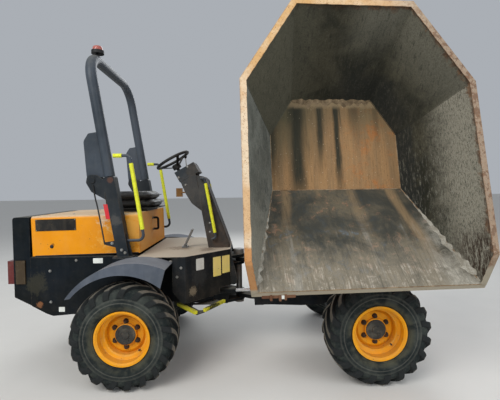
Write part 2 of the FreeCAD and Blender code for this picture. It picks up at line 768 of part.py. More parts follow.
foot_plate = box("post_foot", (foot_x - 84, foot_x + 80), (-post_high - 12, -post_low + 8),
                 (S["post_foot_z"] - 12, S["post_foot_z"]))
foot_gusset = prism("post_gusset", "XZ", [
    (foot_x + post_half - 4, S["post_foot_z"]), (foot_x + post_half + 22, S["post_foot_z"]),
    (foot_x + post_half - 26, S["post_foot_z"] + 190), (foot_x + post_half - 40, S["post_foot_z"] + 190),
], -S["roll_half"] - 6, -S["roll_half"] + 6)
ear_outline = [
    (top_x - post_half + 12, top_z - 30), (top_x - post_half + 24, top_z - 190),
    (hinge_x - 10, hinge_z - 96, 20), (hinge_x - 52, hinge_z - 20, 30), (hinge_x - 40, hinge_z + 46, 36),
    (hinge_x + 34, hinge_z + 44, 30),
]
ear_thick = S["fold_ear_thick"]
ears = [
    prism("ear_outer", "XZ", ear_outline, -post_high, -post_high + ear_thick),
    prism("ear_inner", "XZ", ear_outline, -post_low - ear_thick, -post_low),
]
lead_shelf = prism("lead_shelf", "XZ", [
    (-1113, 1104), (post_rear(1078) + 4, 1078), (post_rear(1134) + 4, 1134), (-1113, 1122),
], -post_high, -post_high + 8)
fold_pin = rod("fold_pin", "Y", S["fold_pin_radius"], -post_high - 7, -post_low + 5, hinge_x, hinge_z)
fold_head = rod("fold_head", "Y", 24, -post_high - 9, -post_high, hinge_x, hinge_z)
node("roll_posts", pair("posts_shape", join("post_right", post, foot_plate, foot_gusset, lead_shelf, *ears,
                                                   fold_pin, fold_head)))

hoop = tube("hoop", "YZ", 0, [
    (-S["roll_half"], 5), (-S["roll_half"], S["roll_rise"], S["roll_bend"]),
    (S["roll_half"], S["roll_rise"], S["roll_bend"]), (S["roll_half"], 5),
], tube_r)
leaf_half = tube_r - ear_thick - S["moving_gap"]
back, drop = S["roll_hinge_back"], S["roll_hinge_drop"]
leaf_outline = [
    (-30, 8), (-30, 386), (-108, 386, 20), (-158, 330, 60), (-back - 50, 40, 60), (-back - 46, -drop - 40, 40),
    (-back + 26, -drop - 48, 30), (-86, -6, 10), (-70, 8, 10),
]
leaf = prism("fold_leaf", "XZ", leaf_outline, -S["roll_half"] - leaf_half, -S["roll_half"] + leaf_half)
leaf_bored = less("fold_leaf_bored", leaf,
                  rod("fold_bore", "Y", S["fold_pin_radius"] + S["running_gap"], -post_high - 5, -post_low + 5,
                      -back, -drop))
leaf_clear = less("fold_leaf_clear", leaf_bored,
                  rod("leaf_trim", "Z", tube_r - 1, 0, 600, 0, -S["roll_half"]))
node("roll_hoop", join("hoop_shape", hoop, pair("fold_leaves", leaf_clear)), "roll")

beacon_x, beacon_y = top_x - S["roll_rise"] * sin(lean), -330
crown_z = top_z + S["roll_rise"] * cos(lean) + tube_r
node("beacon_base", less(
    "beacon_base_shape",
    join("beacon_base_solid",
         rod("beacon_stem", "Z", 15, crown_z - 8, crown_z + 30, beacon_x, beacon_y),
         rod("beacon_foot", "Z", 54, crown_z + 26, crown_z + 54, beacon_x, beacon_y)),
    rod("crown_seat", "Y", tube_r, beacon_y - 60, beacon_y + 60, beacon_x, crown_z - tube_r),
), "roof")
lens = doc.addObject("Part::Cone", "beacon_dome")
lens.Radius1 = 47
lens.Radius2 = 40
lens.Height = 42
shift(lens, beacon_x, beacon_y, crown_z + 54)
node("beacon_lens", lens, "roof")


# Side handrails beside the seat, and the grab handles on the console.

rail_r = 12.5
rail_y = S["roll_half"]
rail_path = [
    (foot_x + post_half - 24, 1130), (-790, 1130, 45), (-897, 1846, 45), (-1034, 1846),
]
side_rail = tube("side_rail", "XZ", rail_y, rail_path, rail_r)
grip_line = tube("side_grip", "XZ", rail_y, [(-803.7, 1222), (-887.2, 1780)], rail_r + 5)
grip_top = tube("side_grip_top", "XZ", rail_y, [(-962, 1846), (-1034, 1846)], rail_r + 5)
grip_y = S["console_half"] + 40
handle_path = [
    (-352, 1655), (-308, 1655, 22), (-212, 1095, 22), (-250, 1080),
]
console_rail = tube("console_rail", "XZ", grip_y, handle_path, 11)
console_grip = tube("console_grip", "XZ", grip_y, [(-300, 1609), (-220, 1142)], 15)
stand_offs = [
    rod(f"stand_off_{i}", "Y", 9, -grip_y, y, x, z)
    for i, (x, y, z) in enumerate(((-346, -S["console_half"] + 12, 1654), (-246, -S["console_half"], 1081)))
]
side_rail_cut = less("side_rail_cut", side_rail, post, foot_gusset)
rails_right = join("rails_right", side_rail_cut, console_rail, *stand_offs)
node("handrails", pair("handrails_shape", rails_right))
grips_right = less("grips_right", join("grips_solid", grip_line, grip_top, console_grip), rails_right)
node("yellow_grips", pair("grips_shape", grips_right))


# Console: column, gusset plates and the head box under the steering wheel.

column = prism("console_column", "XZ", [
    (-408, 1691), (-314, 1674, 20), (-83, 1027), (-83, deck_top), (-288, deck_top),
], -S["console_half"] + 12, S["console_half"] - 12)
cowl = prism("console_cowl", "XZ", [
    (-372, 1560), (-318, 1640, 12), (-96, 1030, 10), (-96, deck_top), (-240, deck_top),
], -S["console_half"], S["console_half"])
gusset = prism("console_gusset", "XZ", [
    (-541, 1622), (-400, 1705), (-330, 1354), (-352, 1350, 20), (-440, 1420, 90), (-500, 1520, 60),
], -S["console_half"] + 6, -S["console_half"] + 12)
tilt = S["steer_tilt"]
head_half = S["console_half"] - 10
head = box("console_head", (-30, 178), (-head_half, head_half), (-240, -134))
head_turned = less("console_head_bored", head,
                   rod("column_bore", "Z", S["column_radius"] + S["running_gap"], -200, -130, 0, 0))
steer_turn = FreeCAD.Rotation(V(0, 1, 0), -tilt.number)
head_turned.Placement = FreeCAD.Placement(V(S["steer_x"].number, 0, S["steer_z"].number), steer_turn)
console_solid = join("console_solid", column, cowl, pair("gussets", gusset))
head_room = doc.addObject("Part::Cut", "console_under_head")
head_room.Base = console_solid
head_room.Tool = head_turned
node("console", join("console_shape", head_room, head_turned))

ring = doc.addObject("Part::Torus", "steer_ring")
bind(ring, "Radius1", S["steer_ring_radius"])
bind(ring, "Radius2", S["steer_grip_radius"])
hub = rod("steer_hub", "Z", 42, -96, -62, 0, 0)
shank = rod("steer_shank", "Z", S["column_radius"], -192, -80, 0, 0)
spokes = []
for i in range(3):
    spoke = doc.addObject("Part::Box", f"steer_spoke_{i}")
    spoke.Length = 158
    spoke.Width = 26
    spoke.Height = 9
    turn = FreeCAD.Rotation(V(0, 0, 1), 120 * i + 180).multiply(FreeCAD.Rotation(V(0, 1, 0), -27))
    spoke.Placement = FreeCAD.Placement(turn.multVec(V(0, -13, 0)) + turn.multVec(V(25, 0, 0)) + V(0, 0, -92), turn)
    spokes.append(spoke)
node("steering_wheel", join("steer_shape", ring, hub, shank, *spokes), "steer")

pedal_pad = box("pedal_pad", (-8, 6), (-150, -60), (20, 186))
pedal_foot = box("pedal_foot", (-14, 12), (-130, -80), (-6, 24))
pedal_turned = join("pedal_shape", pedal_pad, pedal_foot)
pedal_turned.Placement = FreeCAD.Placement(V(-520, 0, S["deck_top_z"].number + 11), FreeCAD.Rotation(V(0, 1, 0), 26))
pedal_base = box("pedal_base", (-545, -490), (-138, -72), (deck_top, deck_top + 14))
node("foot_pedal", join("pedal_all", pedal_turned, pedal_base))


# Lamps, reflector and the cable to the beacon.

stop_parts, turn_parts = [], []
for side, sign in SIDES:
    y = (sign * 448 - 44, sign * 448 + 44)
    stop_parts.append(box(f"stop_{side}", (S["tail_rear_x"] - 56, S["tail_rear_x"]), y, (760, 958)))
    y = (half, half + 13) if sign > 0 else (-half - 13, -half)
    turn_parts.append(box(f"turn_{side}", (-1903, -1823), y, (762, 964)))
stop_parts.append(pair("reflectors", prism("reflector_strip", "XZ", [
    (post_rear(1316) - 34, 1316), (post_rear(1316), 1316), (post_rear(1440), 1440), (post_rear(1440) - 34, 1440),
], -post_high, -post_high + 12)))
node("stop_lamps", join("stop_shape", *stop_parts))
side_lamp = join("side_lamp", box("side_lamp_body", (-650, -586), (196, 240), (1478, 1568)),
                 box("side_lamp_arm", (-588, -470), (S["console_half"] - 6, S["console_half"] + 2), (1516, 1530)),
                 box("side_lamp_reach", (-600, -586), (S["console_half"] - 6, 200), (1516, 1530)))
turn_parts.append(side_lamp)
node("turn_lamps", join("turn_shape", *turn_parts))

cable_y = post_high + 6
cable = tube("beacon_lead", "XZ", cable_y, [
    (hinge_x + 8, hinge_z - 40), (-1176, 1500, 90), (-1150, 1400, 90), (-1106, 1114),
], 6)
node("beacon_cable", pair("cable_shape", cable))


# Bonnet, hinged at its rear top edge, with the seat on it.

b_half, skin = S["bonnet_half_width"], S["bonnet_sheet"]
b_front, b_rear = S["bonnet_front_x"], S["bonnet_rear_x"]
b_low, b_top = S["bonnet_low_z"], S["bonnet_top_z"]
bonnet_outer = prism("bonnet_outer", "YZ", [
    (-b_half, b_low), (b_half, b_low), (b_half, b_top, 28), (-b_half, b_top, 28),
], b_rear, b_front)
bonnet_inner = prism("bonnet_inner", "YZ", [
    (-b_half + skin, b_low - 2), (b_half - skin, b_low - 2), (b_half - skin, b_top - skin, 24),
    (-b_half + skin, b_top - skin, 24),
], b_rear - 2, b_front - skin)
bonnet_shell = less("bonnet_shell", bonnet_outer, bonnet_inner)
bonnet_ribs = [
    box(f"bonnet_rib_{i}", (x - 20, x + 20), (-b_half + skin + 26, b_half - skin - 26), (b_top - skin - 22, b_top - skin))
    for i, x in enumerate((-1500, -1180, -900))
]
pin_x, pin_z = S["bonnet_hinge_x"], S["bonnet_hinge_z"]
bonnet_pin = rod("bonnet_pin", "Y", S["bonnet_pin_radius"], -300, 300, pin_x, pin_z)
pin_lugs = [
    box(f"bonnet_lug_{i}", (pin_x - 9, pin_x + 9), (y - 10, y + 10), (pin_z - 6, b_top - skin + 1))
    for i, y in enumerate((-290, 0, 290))
]
hinge_notches = [
    box(f"hinge_notch_{i}", (b_rear - 5, pin_x + 24), (y - 22, y + 22), (b_top - 30, b_top + 5))
    for i, y in enumerate((-255, 255))
]
bonnet_open_shell = less("bonnet_open_shell", bonnet_shell, *hinge_notches)
node("bonnet", join("bonnet_shape", bonnet_open_shell, bonnet_pin, *pin_lugs, *bonnet_ribs), "bonnet")

badge = box("badge", (-1732, -1388), (-b_half - 3, -b_half), (1212, 1312))
node("bonnet_plates", pair("badge_shape", badge), "bonnet")

pull = tube("bonnet_pull", "XZ", -20, [
    (b_front, 1150), (b_front + 46, 1150, 16), (b_front + 46, 1262, 16), (b_front, 1262),
], 11)
node("bonnet_handle", pull, "bonnet")

seat_x = (S["seat_rear_x"], S["seat_front_x"])
pan = box("seat_pan", (seat_x[0] + 20, -850), (-S["seat_half_width"] + 30, S["seat_half_width"] - 30),
          (b_top, S["seat_pan_z"]))
pan_lip = box("seat_tray", (seat_x[0] + 6, seat_x[1] - 12), (-S["seat_half_width"] + 8, S["seat_half_width"] - 8),
              (S["seat_pan_z"] - 8, S["seat_pan_z"]))
seat_hinge_x, seat_hinge_z = seat_x[0] + 8, S["cushion_top_z"] + 6
brackets = [
    prism(f"seat_bracket_{side}", "XZ", [
        (seat_x[0] - 10, S["seat_pan_z"] - 8), (seat_x[0] + 60, S["seat_pan_z"] - 8),
        (seat_hinge_x + 24, seat_hinge_z + 16, 12), (seat_hinge_x - 24, seat_hinge_z + 16, 12),
    ], *((S["seat_half_width"] - 2, S["seat_half_width"] + 6) if sign > 0 else
         (-S["seat_half_width"] - 6, -S["seat_half_width"] + 2)))
    for side, sign in SIDES
]
bracket_feet = [
    box(f"seat_foot_{side}", (seat_x[0] + 6, seat_x[0] + 60),
        (S["seat_half_width"] - 12, S["seat_half_width"] + 6) if sign > 0 else
        (-S["seat_half_width"] - 6, -S["seat_half_width"] + 12), (S["seat_pan_z"] - 8, S["seat_pan_z"]))
    for side, sign in SIDES
]
seat_pin_bore = rod("seat_pin_bore", "Y", S["seat_pin_radius"] + S["running_gap"], -S["seat_half_width"] - 20,
                    S["seat_half_width"] + 20, seat_hinge_x, seat_hinge_z)
node("seat_base", less("seat_base_shape", join("seat_base_solid", pan, pan_lip, *brackets, *bracket_feet),
                       seat_pin_bore), "bonnet")
cushion = prism("seat_cushion_shape", "XZ", [
    (seat_x[0] + 12, S["seat_pan_z"]), (seat_x[1], S["seat_pan_z"], 22), (seat_x[1], S["cushion_top_z"], 34),
    (seat_x[0] + 12, S["cushion_top_z"] - 8, 14),
], -S["seat_half_width"] + 8, S["seat_half_width"] - 8)
node("seat_cushion", cushion, "bonnet")
squab = prism("seat_squab", "XZ", [
    (seat_x[0] - 6, S["cushion_top_z"] + 6, 16), (seat_x[1] - 24, S["cushion_top_z"] + 6, 24),
    (seat_x[1] - 24, S["squab_top_z"] - 8, 34), (seat_x[0] - 6, S["squab_top_z"], 24),
], -S["seat_half_width"] + 12, S["seat_half_width"] - 12)
seat_pin = rod("seat_pin", "Y", S["seat_pin_radius"], -S["seat_half_width"] - 10, S["seat_half_width"] + 10,
               seat_hinge_x, seat_hinge_z)
node("seat_back", join("seat_back_shape", squab, seat_pin), "bonnet")


# Front chassis, made straight ahead of the pivot.

f_half = S["front_half"]
top_z = S["front_top_z"]
front_side = prism("front_side", "XZ", [
    (150, 440), (150, 860), (235, 860, 40), (300, top_z, 60), (1470, top_z, 30), (1510, 560, 20),
    (1400, 500, 40), (1250, S["spine_low_z"]), (940, S["spine_low_z"]), (800, 428, 60), (600, 420),
], f_half - 15, f_half)
front_post = box("front_post", (150, 235), (-f_half, f_half), (430, S["tongue_high_z"] + S["tongue_thick"]))
tongues = [
    prism(f"tongue_{label}", "XY", [
        (160, -f_half + 15), (160, f_half - 15), (110, f_half - 30, 20), (10, boss - 6, 26),
        (-boss + 6, 0, boss - 14), (10, -boss + 6, 26), (110, -f_half + 30, 20),
    ], z, z + S["tongue_thick"])
    for label, z in (("high", S["tongue_high_z"]), ("low", S["tongue_low_z"]))
]
ring_x = S["turn_x"]
deck_plate = prism("front_deck", "XY", [
    (ring_x - 400, -f_half - 10), (ring_x - 180, -300, 60), (ring_x + 260, -300, 60), (ring_x + 460, -f_half - 10),
    (ring_x + 460, f_half + 10), (ring_x + 260, 300, 60), (ring_x - 180, 300, 60), (ring_x - 400, f_half + 10),
], top_z - 1, top_z + 18)
fixed_ring = rod("fixed_ring", "Z", S["ring_radius"], top_z + 18, S["ring_top_z"], ring_x, 0)
nose_plate = box("nose_plate", (1440, 1455), (-f_half + 15, f_half - 15), (520, top_z))
mid_plate = box("mid_plate", (420, 435), (-f_half + 15, f_half - 15), (424, top_z))
bottom_plate = box("front_belly", (235, 600), (-f_half + 15, f_half - 15), (428, 440))
ram_eye_shelves = [
    box(f"ram_eye_shelf_{label}", (S["ram_eye_x"] - 28, S["ram_eye_x"] + 28),
        (S["ram_eye_y"] - 28, -f_half + 1), z)
    for label, z in (("low", (S["ram_z"] - 34, S["ram_z"] - 21)), ("high", (S["ram_z"] + 21, S["ram_z"] + 34)))
]
ram_eye_stubs = [
    rod(f"ram_eye_stub_{label}", "Z", 14, z, z + 17, S["ram_eye_x"], S["ram_eye_y"])
    for label, z in (("low", S["ram_z"] - 42), ("high", S["ram_z"] + 25))
]
tie_eyes = [
    prism(f"tie_eye_{side}", "XZ", [
        (1500, 540), (1560, 552, 24), (1560, 630, 24), (1485, 640),
    ], *((f_half - 15, f_half + 5) if sign > 0 else (-f_half - 5, -f_half + 15)))
    for side, sign in SIDES
]
front_solid = join("front_solid", pair("front_sides", front_side), front_post, *tongues, deck_plate, fixed_ring,
                   nose_plate, mid_plate, bottom_plate, *ram_eye_shelves, *ram_eye_stubs, *tie_eyes)
front_bores = [
    rod("tongue_bore", "Z", S["pivot_pin_radius"] + S["running_gap"], 400, 960, 0, 0),
    rod("king_bore", "Z", S["kingpin_radius"] + S["running_gap"], top_z - 40, S["ring_top_z"] + 5, ring_x, 0),
    rod("tie_bore", "Y", S["tie_bore_radius"], -f_half - 20, f_half + 20, 1530, 590),
]
node("front_chassis", less("front_frame", front_solid, *front_bores), "front")


# Turntable, made about the slew centre: ring, table plate, arms to the tipping hinge.

table_top = S["table_low_z"] + S["table_thick"]
hx, hz = S["tip_hinge_x"], S["tip_hinge_z"]
table = prism("table_plate", "XY", [
    (-400, -180, 30), (-300, -330, 30), (470, -330, 30), (520, -250, 30), (520, -120, 20), (598, -84, 24),
    (598, 84, 24), (520, 120, 20), (520, 250, 30), (470, 330, 30), (-300, 330, 30), (-400, 180, 30),
], S["table_low_z"], table_top)
moving_ring = rod("moving_ring", "Z", S["ring_radius"] - 16, S["ring_top_z"] + 5, S["table_low_z"], 0, 0)
kingpin = rod("kingpin", "Z", S["kingpin_radius"], top_z - 20, S["table_low_z"], 0, 0)
arm_y = S["arm_y"]
arm = prism("table_arm", "XZ", [
    (-330, table_top - 1), (440, table_top - 1), (600, 862, 60), (hx + 58, hz - 50, 44), (hx + 52, hz + 54, 50),
    (hx - 56, hz + 52, 50), (640, 960, 120), (520, 880, 60), (-330, 880),
], -arm_y - S["arm_thick"], -arm_y)
arm_boss = rod("arm_boss", "Y", 44, -arm_y - S["arm_thick"] - 16, -arm_y, hx, hz)
arms = pair("table_arms", join("arm_right", arm, arm_boss))
cross_tube = rod("arm_cross", "Y", 36, -arm_y, arm_y, 720, 1010)
rear_beam = box("table_rear_beam", (-345, -300), (-arm_y - 10, -90), (table_top - 1, 884))
rear_beam_two = box("table_rear_beam_two", (-345, -300), (90, arm_y + 10), (table_top - 1, 884))
base_x, base_z = S["tip_base_x"], S["tip_base_z"]
base_lug = prism("tip_base_lug", "XZ", [
    (base_x - 78, table_top - 1), (base_x + 16, table_top - 1), (base_x + 36, base_z - 20, 20),
    (base_x + 36, base_z + 38, 34), (base_x - 36, base_z + 38, 34),
], -68, -50)
base_pin = rod("tip_base_pin", "Y", 20, -74, 74, base_x, base_z)
tip_pin = rod("tip_pin", "Y", S["tip_pin_radius"], -arm_y - S["arm_thick"] - 26, arm_y + S["arm_thick"] + 26, hx, hz)
node("turntable", join("turntable_shape", table, moving_ring, kingpin, arms, cross_tube, rear_beam, rear_beam_two,
                       pair("base_lugs", base_lug), base_pin, tip_pin), "table")


# Skip, made level: tub, outer band and the brackets underneath.

rim_z, floor_z = S["rim_z"], S["floor_z"]
side_view = prism("tub_side_view", "XZ", [
    (S["rim_rear_x"], rim_z), (S["floor_rear_x"], floor_z), (S["floor_fold_x"], floor_z),
    (S["lip_x"], S["lip_z"]), (S["rim_front_x"], rim_z),
], -1200, 1200)
end_view = prism("tub_end_view", "YZ", [
    (-S["rim_half"], rim_z), (-S["floor_half"], floor_z), (S["floor_half"], floor_z), (S["rim_half"], rim_z),
], -1400, 1600)
tub_block = common("tub_block", side_view, end_view)
corner_a = V(S["rim_rear_x"].number, S["rim_rear_half"].number, rim_z.number)
corner_b = V(S["rim_side_x"].number, S["rim_half"].number, rim_z.number)
corner_c = V(S["floor_side_x"].number, S["floor_half"].number, floor_z.number)
corner_normal = (corner_b - corner_a).cross(corner_c - corner_a).normalize()
if corner_normal.y < 0:
    corner_normal = corner_normal * -1


def corner_cutter(name, sign):
    """A block lying on the plane of one rear corner panel."""
    cutter = doc.addObject("Part::Box", name)
    cutter.Length = 3000
    cutter.Width = 3000
    cutter.Height = 1500
    normal = V(corner_normal.x, sign * corner_normal.y, corner_normal.z)
    turn = FreeCAD.Rotation(V(0, 0, 1), normal)
    at = V(corner_a.x, sign * corner_a.y, corner_a.z) - turn.multVec(V(1500, 1500, 0))
    cutter.Placement = FreeCAD.Placement(at, turn)
    return cutter


tub_solid = less("tub_solid", tub_block, corner_cutter("corner_left", 1), corner_cutter("corner_right", -1))
doc.recompute()
open_faces = [
    f"Face{i + 1}" for i, face in enumerate(tub_solid.Shape.Faces)
    if face.normalAt(0, 0).z > 0.5 and face.CenterOfMass.z > S["lip_z"].number
]
tub_shell = doc.addObject("Part::Thickness", "tub_shell")
tub_shell.Faces = (tub_solid, open_faces)
bind(tub_shell, "Value", -S["skip_sheet"])
tub_shell.Join = 2
tub_shell.Mode = 0

grown = doc.addObject("Part::Offset", "tub_grown")
grown.Source = tub_solid
bind(grown, "Value", S["band_thick"])
grown.Join = 2
mouth_fall = (rim_z - S["lip_z"]) / (S["lip_x"] - S["rim_front_x"])
band_zone = prism("band_zone", "XZ", [
    (-1200, rim_z), (S["rim_front_x"], rim_z), (S["lip_x"] + 42, S["lip_z"] - mouth_fall * 42 - 2),
    (S["lip_x"] + 12, S["lip_z"] - 60), (S["lip_x"] - 66, S["lip_z"] - 54),
    (S["rim_front_x"] - 18, rim_z - S["band_deep"]), (-1200, rim_z - S["band_deep"]),
], -1100, 1100)
band_grown = common("band_grown", grown, band_zone)
band = less("band_shape", band_grown, tub_solid)
node("skip_rim", band, "skip")

lug_outline = [
    (640, 1140), (960, 1370), (hx + 50, hz - 20, 40), (hx + 5, hz - 48, 40), (hx - 46, hz - 30, 40),
]
lug = prism("tip_lug", "XZ", lug_outline, -arm_y + 7, -arm_y + 33)
lug_bored = less("tip_lug_bored", lug, rod("tip_lug_bore", "Y", S["tip_pin_radius"] + S["running_gap"],
                                           -arm_y - 5, -arm_y + 45, hx, hz))
eye_x, eye_z = S["tip_eye_x"], S["tip_eye_z"]
ram_lug = prism("tip_eye_lug", "XZ", [
    (eye_x - 70, floor_z + 20), (eye_x + 70, floor_z + 20), (eye_x + 30, eye_z - 34, 28), (eye_x - 30, eye_z - 34, 28),
], -48, -32)
eye_stub = rod("tip_eye_stub", "Y", 20, -56, -32, eye_x, eye_z)
apron_ribs = [
    prism(f"apron_rib_{label}", "XZ", [
        (430, 980), (1080, 1446), (1108, 1424), (1010, 1330), (700, 1105), (470, 935),
    ], y - 5, y + 5)
    for label, y in (("centre", 0), ("right", -440), ("left", 440))
]
under = less("skip_brackets", join("skip_brackets_solid", pair("tip_lugs", lug_bored), pair("eye_lugs", ram_lug),
                                   pair("tip_eye_stubs", eye_stub), *apron_ribs), tub_solid, band)
node("skip_tub", join("skip_shape", tub_shell, under), "skip")


# Rams, made lying along +X from their base pin.

def barrel(name, axis, radius, bore, eye, eye_half, pin, mouth, start):
    """A ram barrel with its base eye; the eye lies about Y or Z."""
    body = rod(name + "_tube", "X", radius, eye - 6, mouth, 0, 0)
    collar = rod(name + "_gland", "X", radius + 3, mouth - 42, mouth, 0, 0)
    base_eye = rod(name + "_eye", axis, eye, -eye_half, eye_half, 0, 0)
    solid = join(name + "_solid", body, collar, base_eye)
    return less(name + "_shape", solid,
                rod(name + "_bore", "X", bore + S["running_gap"], start, mouth + 5, 0, 0),
                rod(name + "_pin_hole", axis, pin + S["running_gap"], -eye_half - 5, eye_half + 5, 0, 0))


def piston_rod(name, axis, radius, long, eye, eye_half, pin):
    """A ram rod reaching back from its eye at the origin."""
    solid = join(name + "_solid", rod(name + "_bar", "X", radius, -long, -eye + 4, 0, 0),
                 rod(name + "_eye", axis, eye, -eye_half, eye_half, 0, 0))
    return less(name + "_shape", solid,
                rod(name + "_pin_hole", axis, pin + S["running_gap"], -eye_half - 5, eye_half + 5, 0, 0))


node("tip_barrel", barrel("tip_barrel", "Y", S["tip_barrel_radius"], S["tip_rod_radius"], 36, 42, 20,
                          S["tip_gland"], 68), "tip_barrel")
node("tip_rod", piston_rod("tip_rod", "Y", S["tip_rod_radius"], S["tip_rod_long"], 36, 26, 20), "tip_rod")
node("steering_barrel", barrel("steering_barrel", "Z", S["ram_barrel_radius"], S["ram_rod_radius"], 28, 33, 15,
                               S["ram_gland"], 45), "ram_barrel")
node("steering_rod", piston_rod("steering_rod", "Z", S["ram_rod_radius"], S["ram_rod_long"], 26, 15, 14), "ram_rod")

doc.recompute()


# Rest pose of each moving group.

def place(x, y, z, axis=None, degrees=0.0):
    turn = FreeCAD.Rotation(axis, degrees) if axis else FreeCAD.Rotation()
    return FreeCAD.Placement(V(float(x), float(y), float(z)), turn)


def about(x, y, z, axis, degrees):
    """A turn about a line through x, y, z."""
    centre = V(float(x), float(y), float(z))
    return FreeCAD.Placement(V(0, 0, 0), FreeCAD.Rotation(axis, degrees), centre)


Y_AXIS, Z_AXIS = V(0, 1, 0), V(0, 0, 1)
whole = place(S["shift_x"], S["shift_y"], 0)
front_pose = whole
table_pose = front_pose.multiply(place(S["turn_x"], 0, 0, Z_AXIS, -S["swivel_rest"].number))
skip_pose = table_pose.multiply(about(hx, 0, hz, Y_AXIS, S["tip_rest"].number))
bonnet_pose = whole.multiply(about(S["bonnet_hinge_x"], 0, S["bonnet_hinge_z"], Y_AXIS, -S["bonnet_ajar"].number))
roll_pose = whole.multiply(place(S["roll_joint_x"], 0, S["roll_joint_z"], Y_AXIS, -S["roll_lean"].number))
steer_pose = whole.multiply(place(S["steer_x"], 0, S["steer_z"], Y_AXIS, -S["steer_tilt"].number))

tip_base = V(base_x.number, 0, base_z.number)
tip_eye = about(hx, 0, hz, Y_AXIS, S["tip_rest"].number).multVec(V(eye_x.number, 0, eye_z.number))
tip_line = tip_eye - tip_base
tip_angle = math.degrees(math.atan2(tip_line.z, tip_line.x))
tip_turn = FreeCAD.Rotation(Y_AXIS, -tip_angle)
tip_barrel_pose = table_pose.multiply(FreeCAD.Placement(tip_base, tip_turn))
tip_rod_pose = table_pose.multiply(FreeCAD.Placement(tip_eye, tip_turn))

ram_base = V(S["ram_base_x"].number, S["ram_base_y"].number, S["ram_z"].number)
ram_eye = V(S["ram_eye_x"].number, S["ram_eye_y"].number, S["ram_z"].number)
ram_line = ram_eye - ram_base
ram_turn = FreeCAD.Rotation(Z_AXIS, math.degrees(math.atan2(ram_line.y, ram_line.x)))
POSES = {
    "rear": whole,
    "roof": whole,
    "roll": roll_pose,
    "steer": steer_pose,
    "bonnet": bonnet_pose,
    "front": front_pose,
    "table": table_pose,
    "skip": skip_pose,
    "tip_barrel": tip_barrel_pose,
    "tip_rod": tip_rod_pose,
    "ram_barrel": whole.multiply(FreeCAD.Placement(ram_base, ram_turn)),
    "ram_rod": whole.multiply(FreeCAD.Placement(ram_eye, ram_turn)),
}

OUT = {}
for name, (thing, pose) in NODES.items():
    OUT[name] = (thing, POSES[pose])
for name, axle_x, sign, group in WHEELS:
    spin = 0 if sign > 0 else 180
    pose = POSES[group].multiply(place(S[axle_x], sign * S["track_half"].number, S["wheel_radius"], Z_AXIS, spin))
    OUT["tyre_" + name] = (tyre, pose)
    OUT["rim_" + name] = (rim, pose)
OUT["rear_axle"] = (axle, whole.multiply(place(S["rear_axle_x"], 0, S["wheel_radius"])))
OUT["front_axle"] = (axle, front_pose.multiply(place(S["front_axle_x"], 0, S["wheel_radius"], Z_AXIS, 180)))

faults = [thing.Name for thing in doc.Objects if "Invalid" in thing.State or "Error" in thing.State]
if faults:
    raise RuntimeError(f"objects in error: {faults}")

os.makedirs("parts", exist_ok=True)
for name, (thing, pose) in OUT.items():
    shape = thing.Shape.copy()
    if shape.isNull() or not shape.isValid():
        raise RuntimeError(f"bad shape for {name}")
    shape.Placement = pose.multiply(shape.Placement)
    shape.exportStep(f"parts/{name}.step")

whole_box = FreeCAD.BoundBox()
for name, (thing, pose) in OUT.items():
    shape = thing.Shape.copy()
    shape.Placement = pose.multiply(shape.Placement)
    whole_box.add(shape.optimalBoundingBox(False))
print("nodes", len(OUT), "box", whole_box)
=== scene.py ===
"""Site dumper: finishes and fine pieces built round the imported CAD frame.

Metres, in the row frame: +X forward, +Y the driver's left, +Z up, origin on the floor.
"""
from __future__ import annotations

import logging
import math
from dataclasses import dataclass, field
from enum import Enum
from typing import Sequence, Union

import bmesh
import bpy
import numpy as np
from mathutils import Euler, Matrix, Vector


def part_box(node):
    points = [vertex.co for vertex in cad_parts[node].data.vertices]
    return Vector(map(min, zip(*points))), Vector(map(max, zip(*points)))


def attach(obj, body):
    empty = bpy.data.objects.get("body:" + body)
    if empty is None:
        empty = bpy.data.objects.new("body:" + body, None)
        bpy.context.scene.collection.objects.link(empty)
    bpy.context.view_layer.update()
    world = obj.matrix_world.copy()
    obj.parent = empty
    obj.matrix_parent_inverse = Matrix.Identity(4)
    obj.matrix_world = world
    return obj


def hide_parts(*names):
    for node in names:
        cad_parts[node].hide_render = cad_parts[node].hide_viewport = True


log = logging.getLogger("site_dumper")

Array = np.ndarray
Rgba = tuple[float, float, float, float]
Number = Union["Wire", float, int]
Socket = bpy.types.NodeSocket

PIVOT_SHIFT = np.array([0.109, 0.211, 0.0])


def paint_chip(red: int, green: int, blue: int) -> Rgba:
    """A colour as a paint chart gives it, made linear for the shader.

    Args:
        red, green, blue: display values from 0 to 255.

    Returns:
        The linear colour with full alpha.
    """
    display = np.array([red, green, blue]) / 255.0
    linear = np.where(display <= 0.04045, display / 12.92, ((display + 0.055) / 1.055) ** 2.4)
    return (float(linear[0]), float(linear[1]), float(linear[2]), 1.0)


def at(x: float, y: float, z: float) -> Array:
    """A point in millimetres from the centre pivot, as metres in the row frame."""
    return np.array([x, y, z]) / 1000.0 + PIVOT_SHIFT


class Side(Enum):
    """The machine's two sides, as the sign of Y."""

    RIGHT = -1
    LEFT = 1


# Shader tools


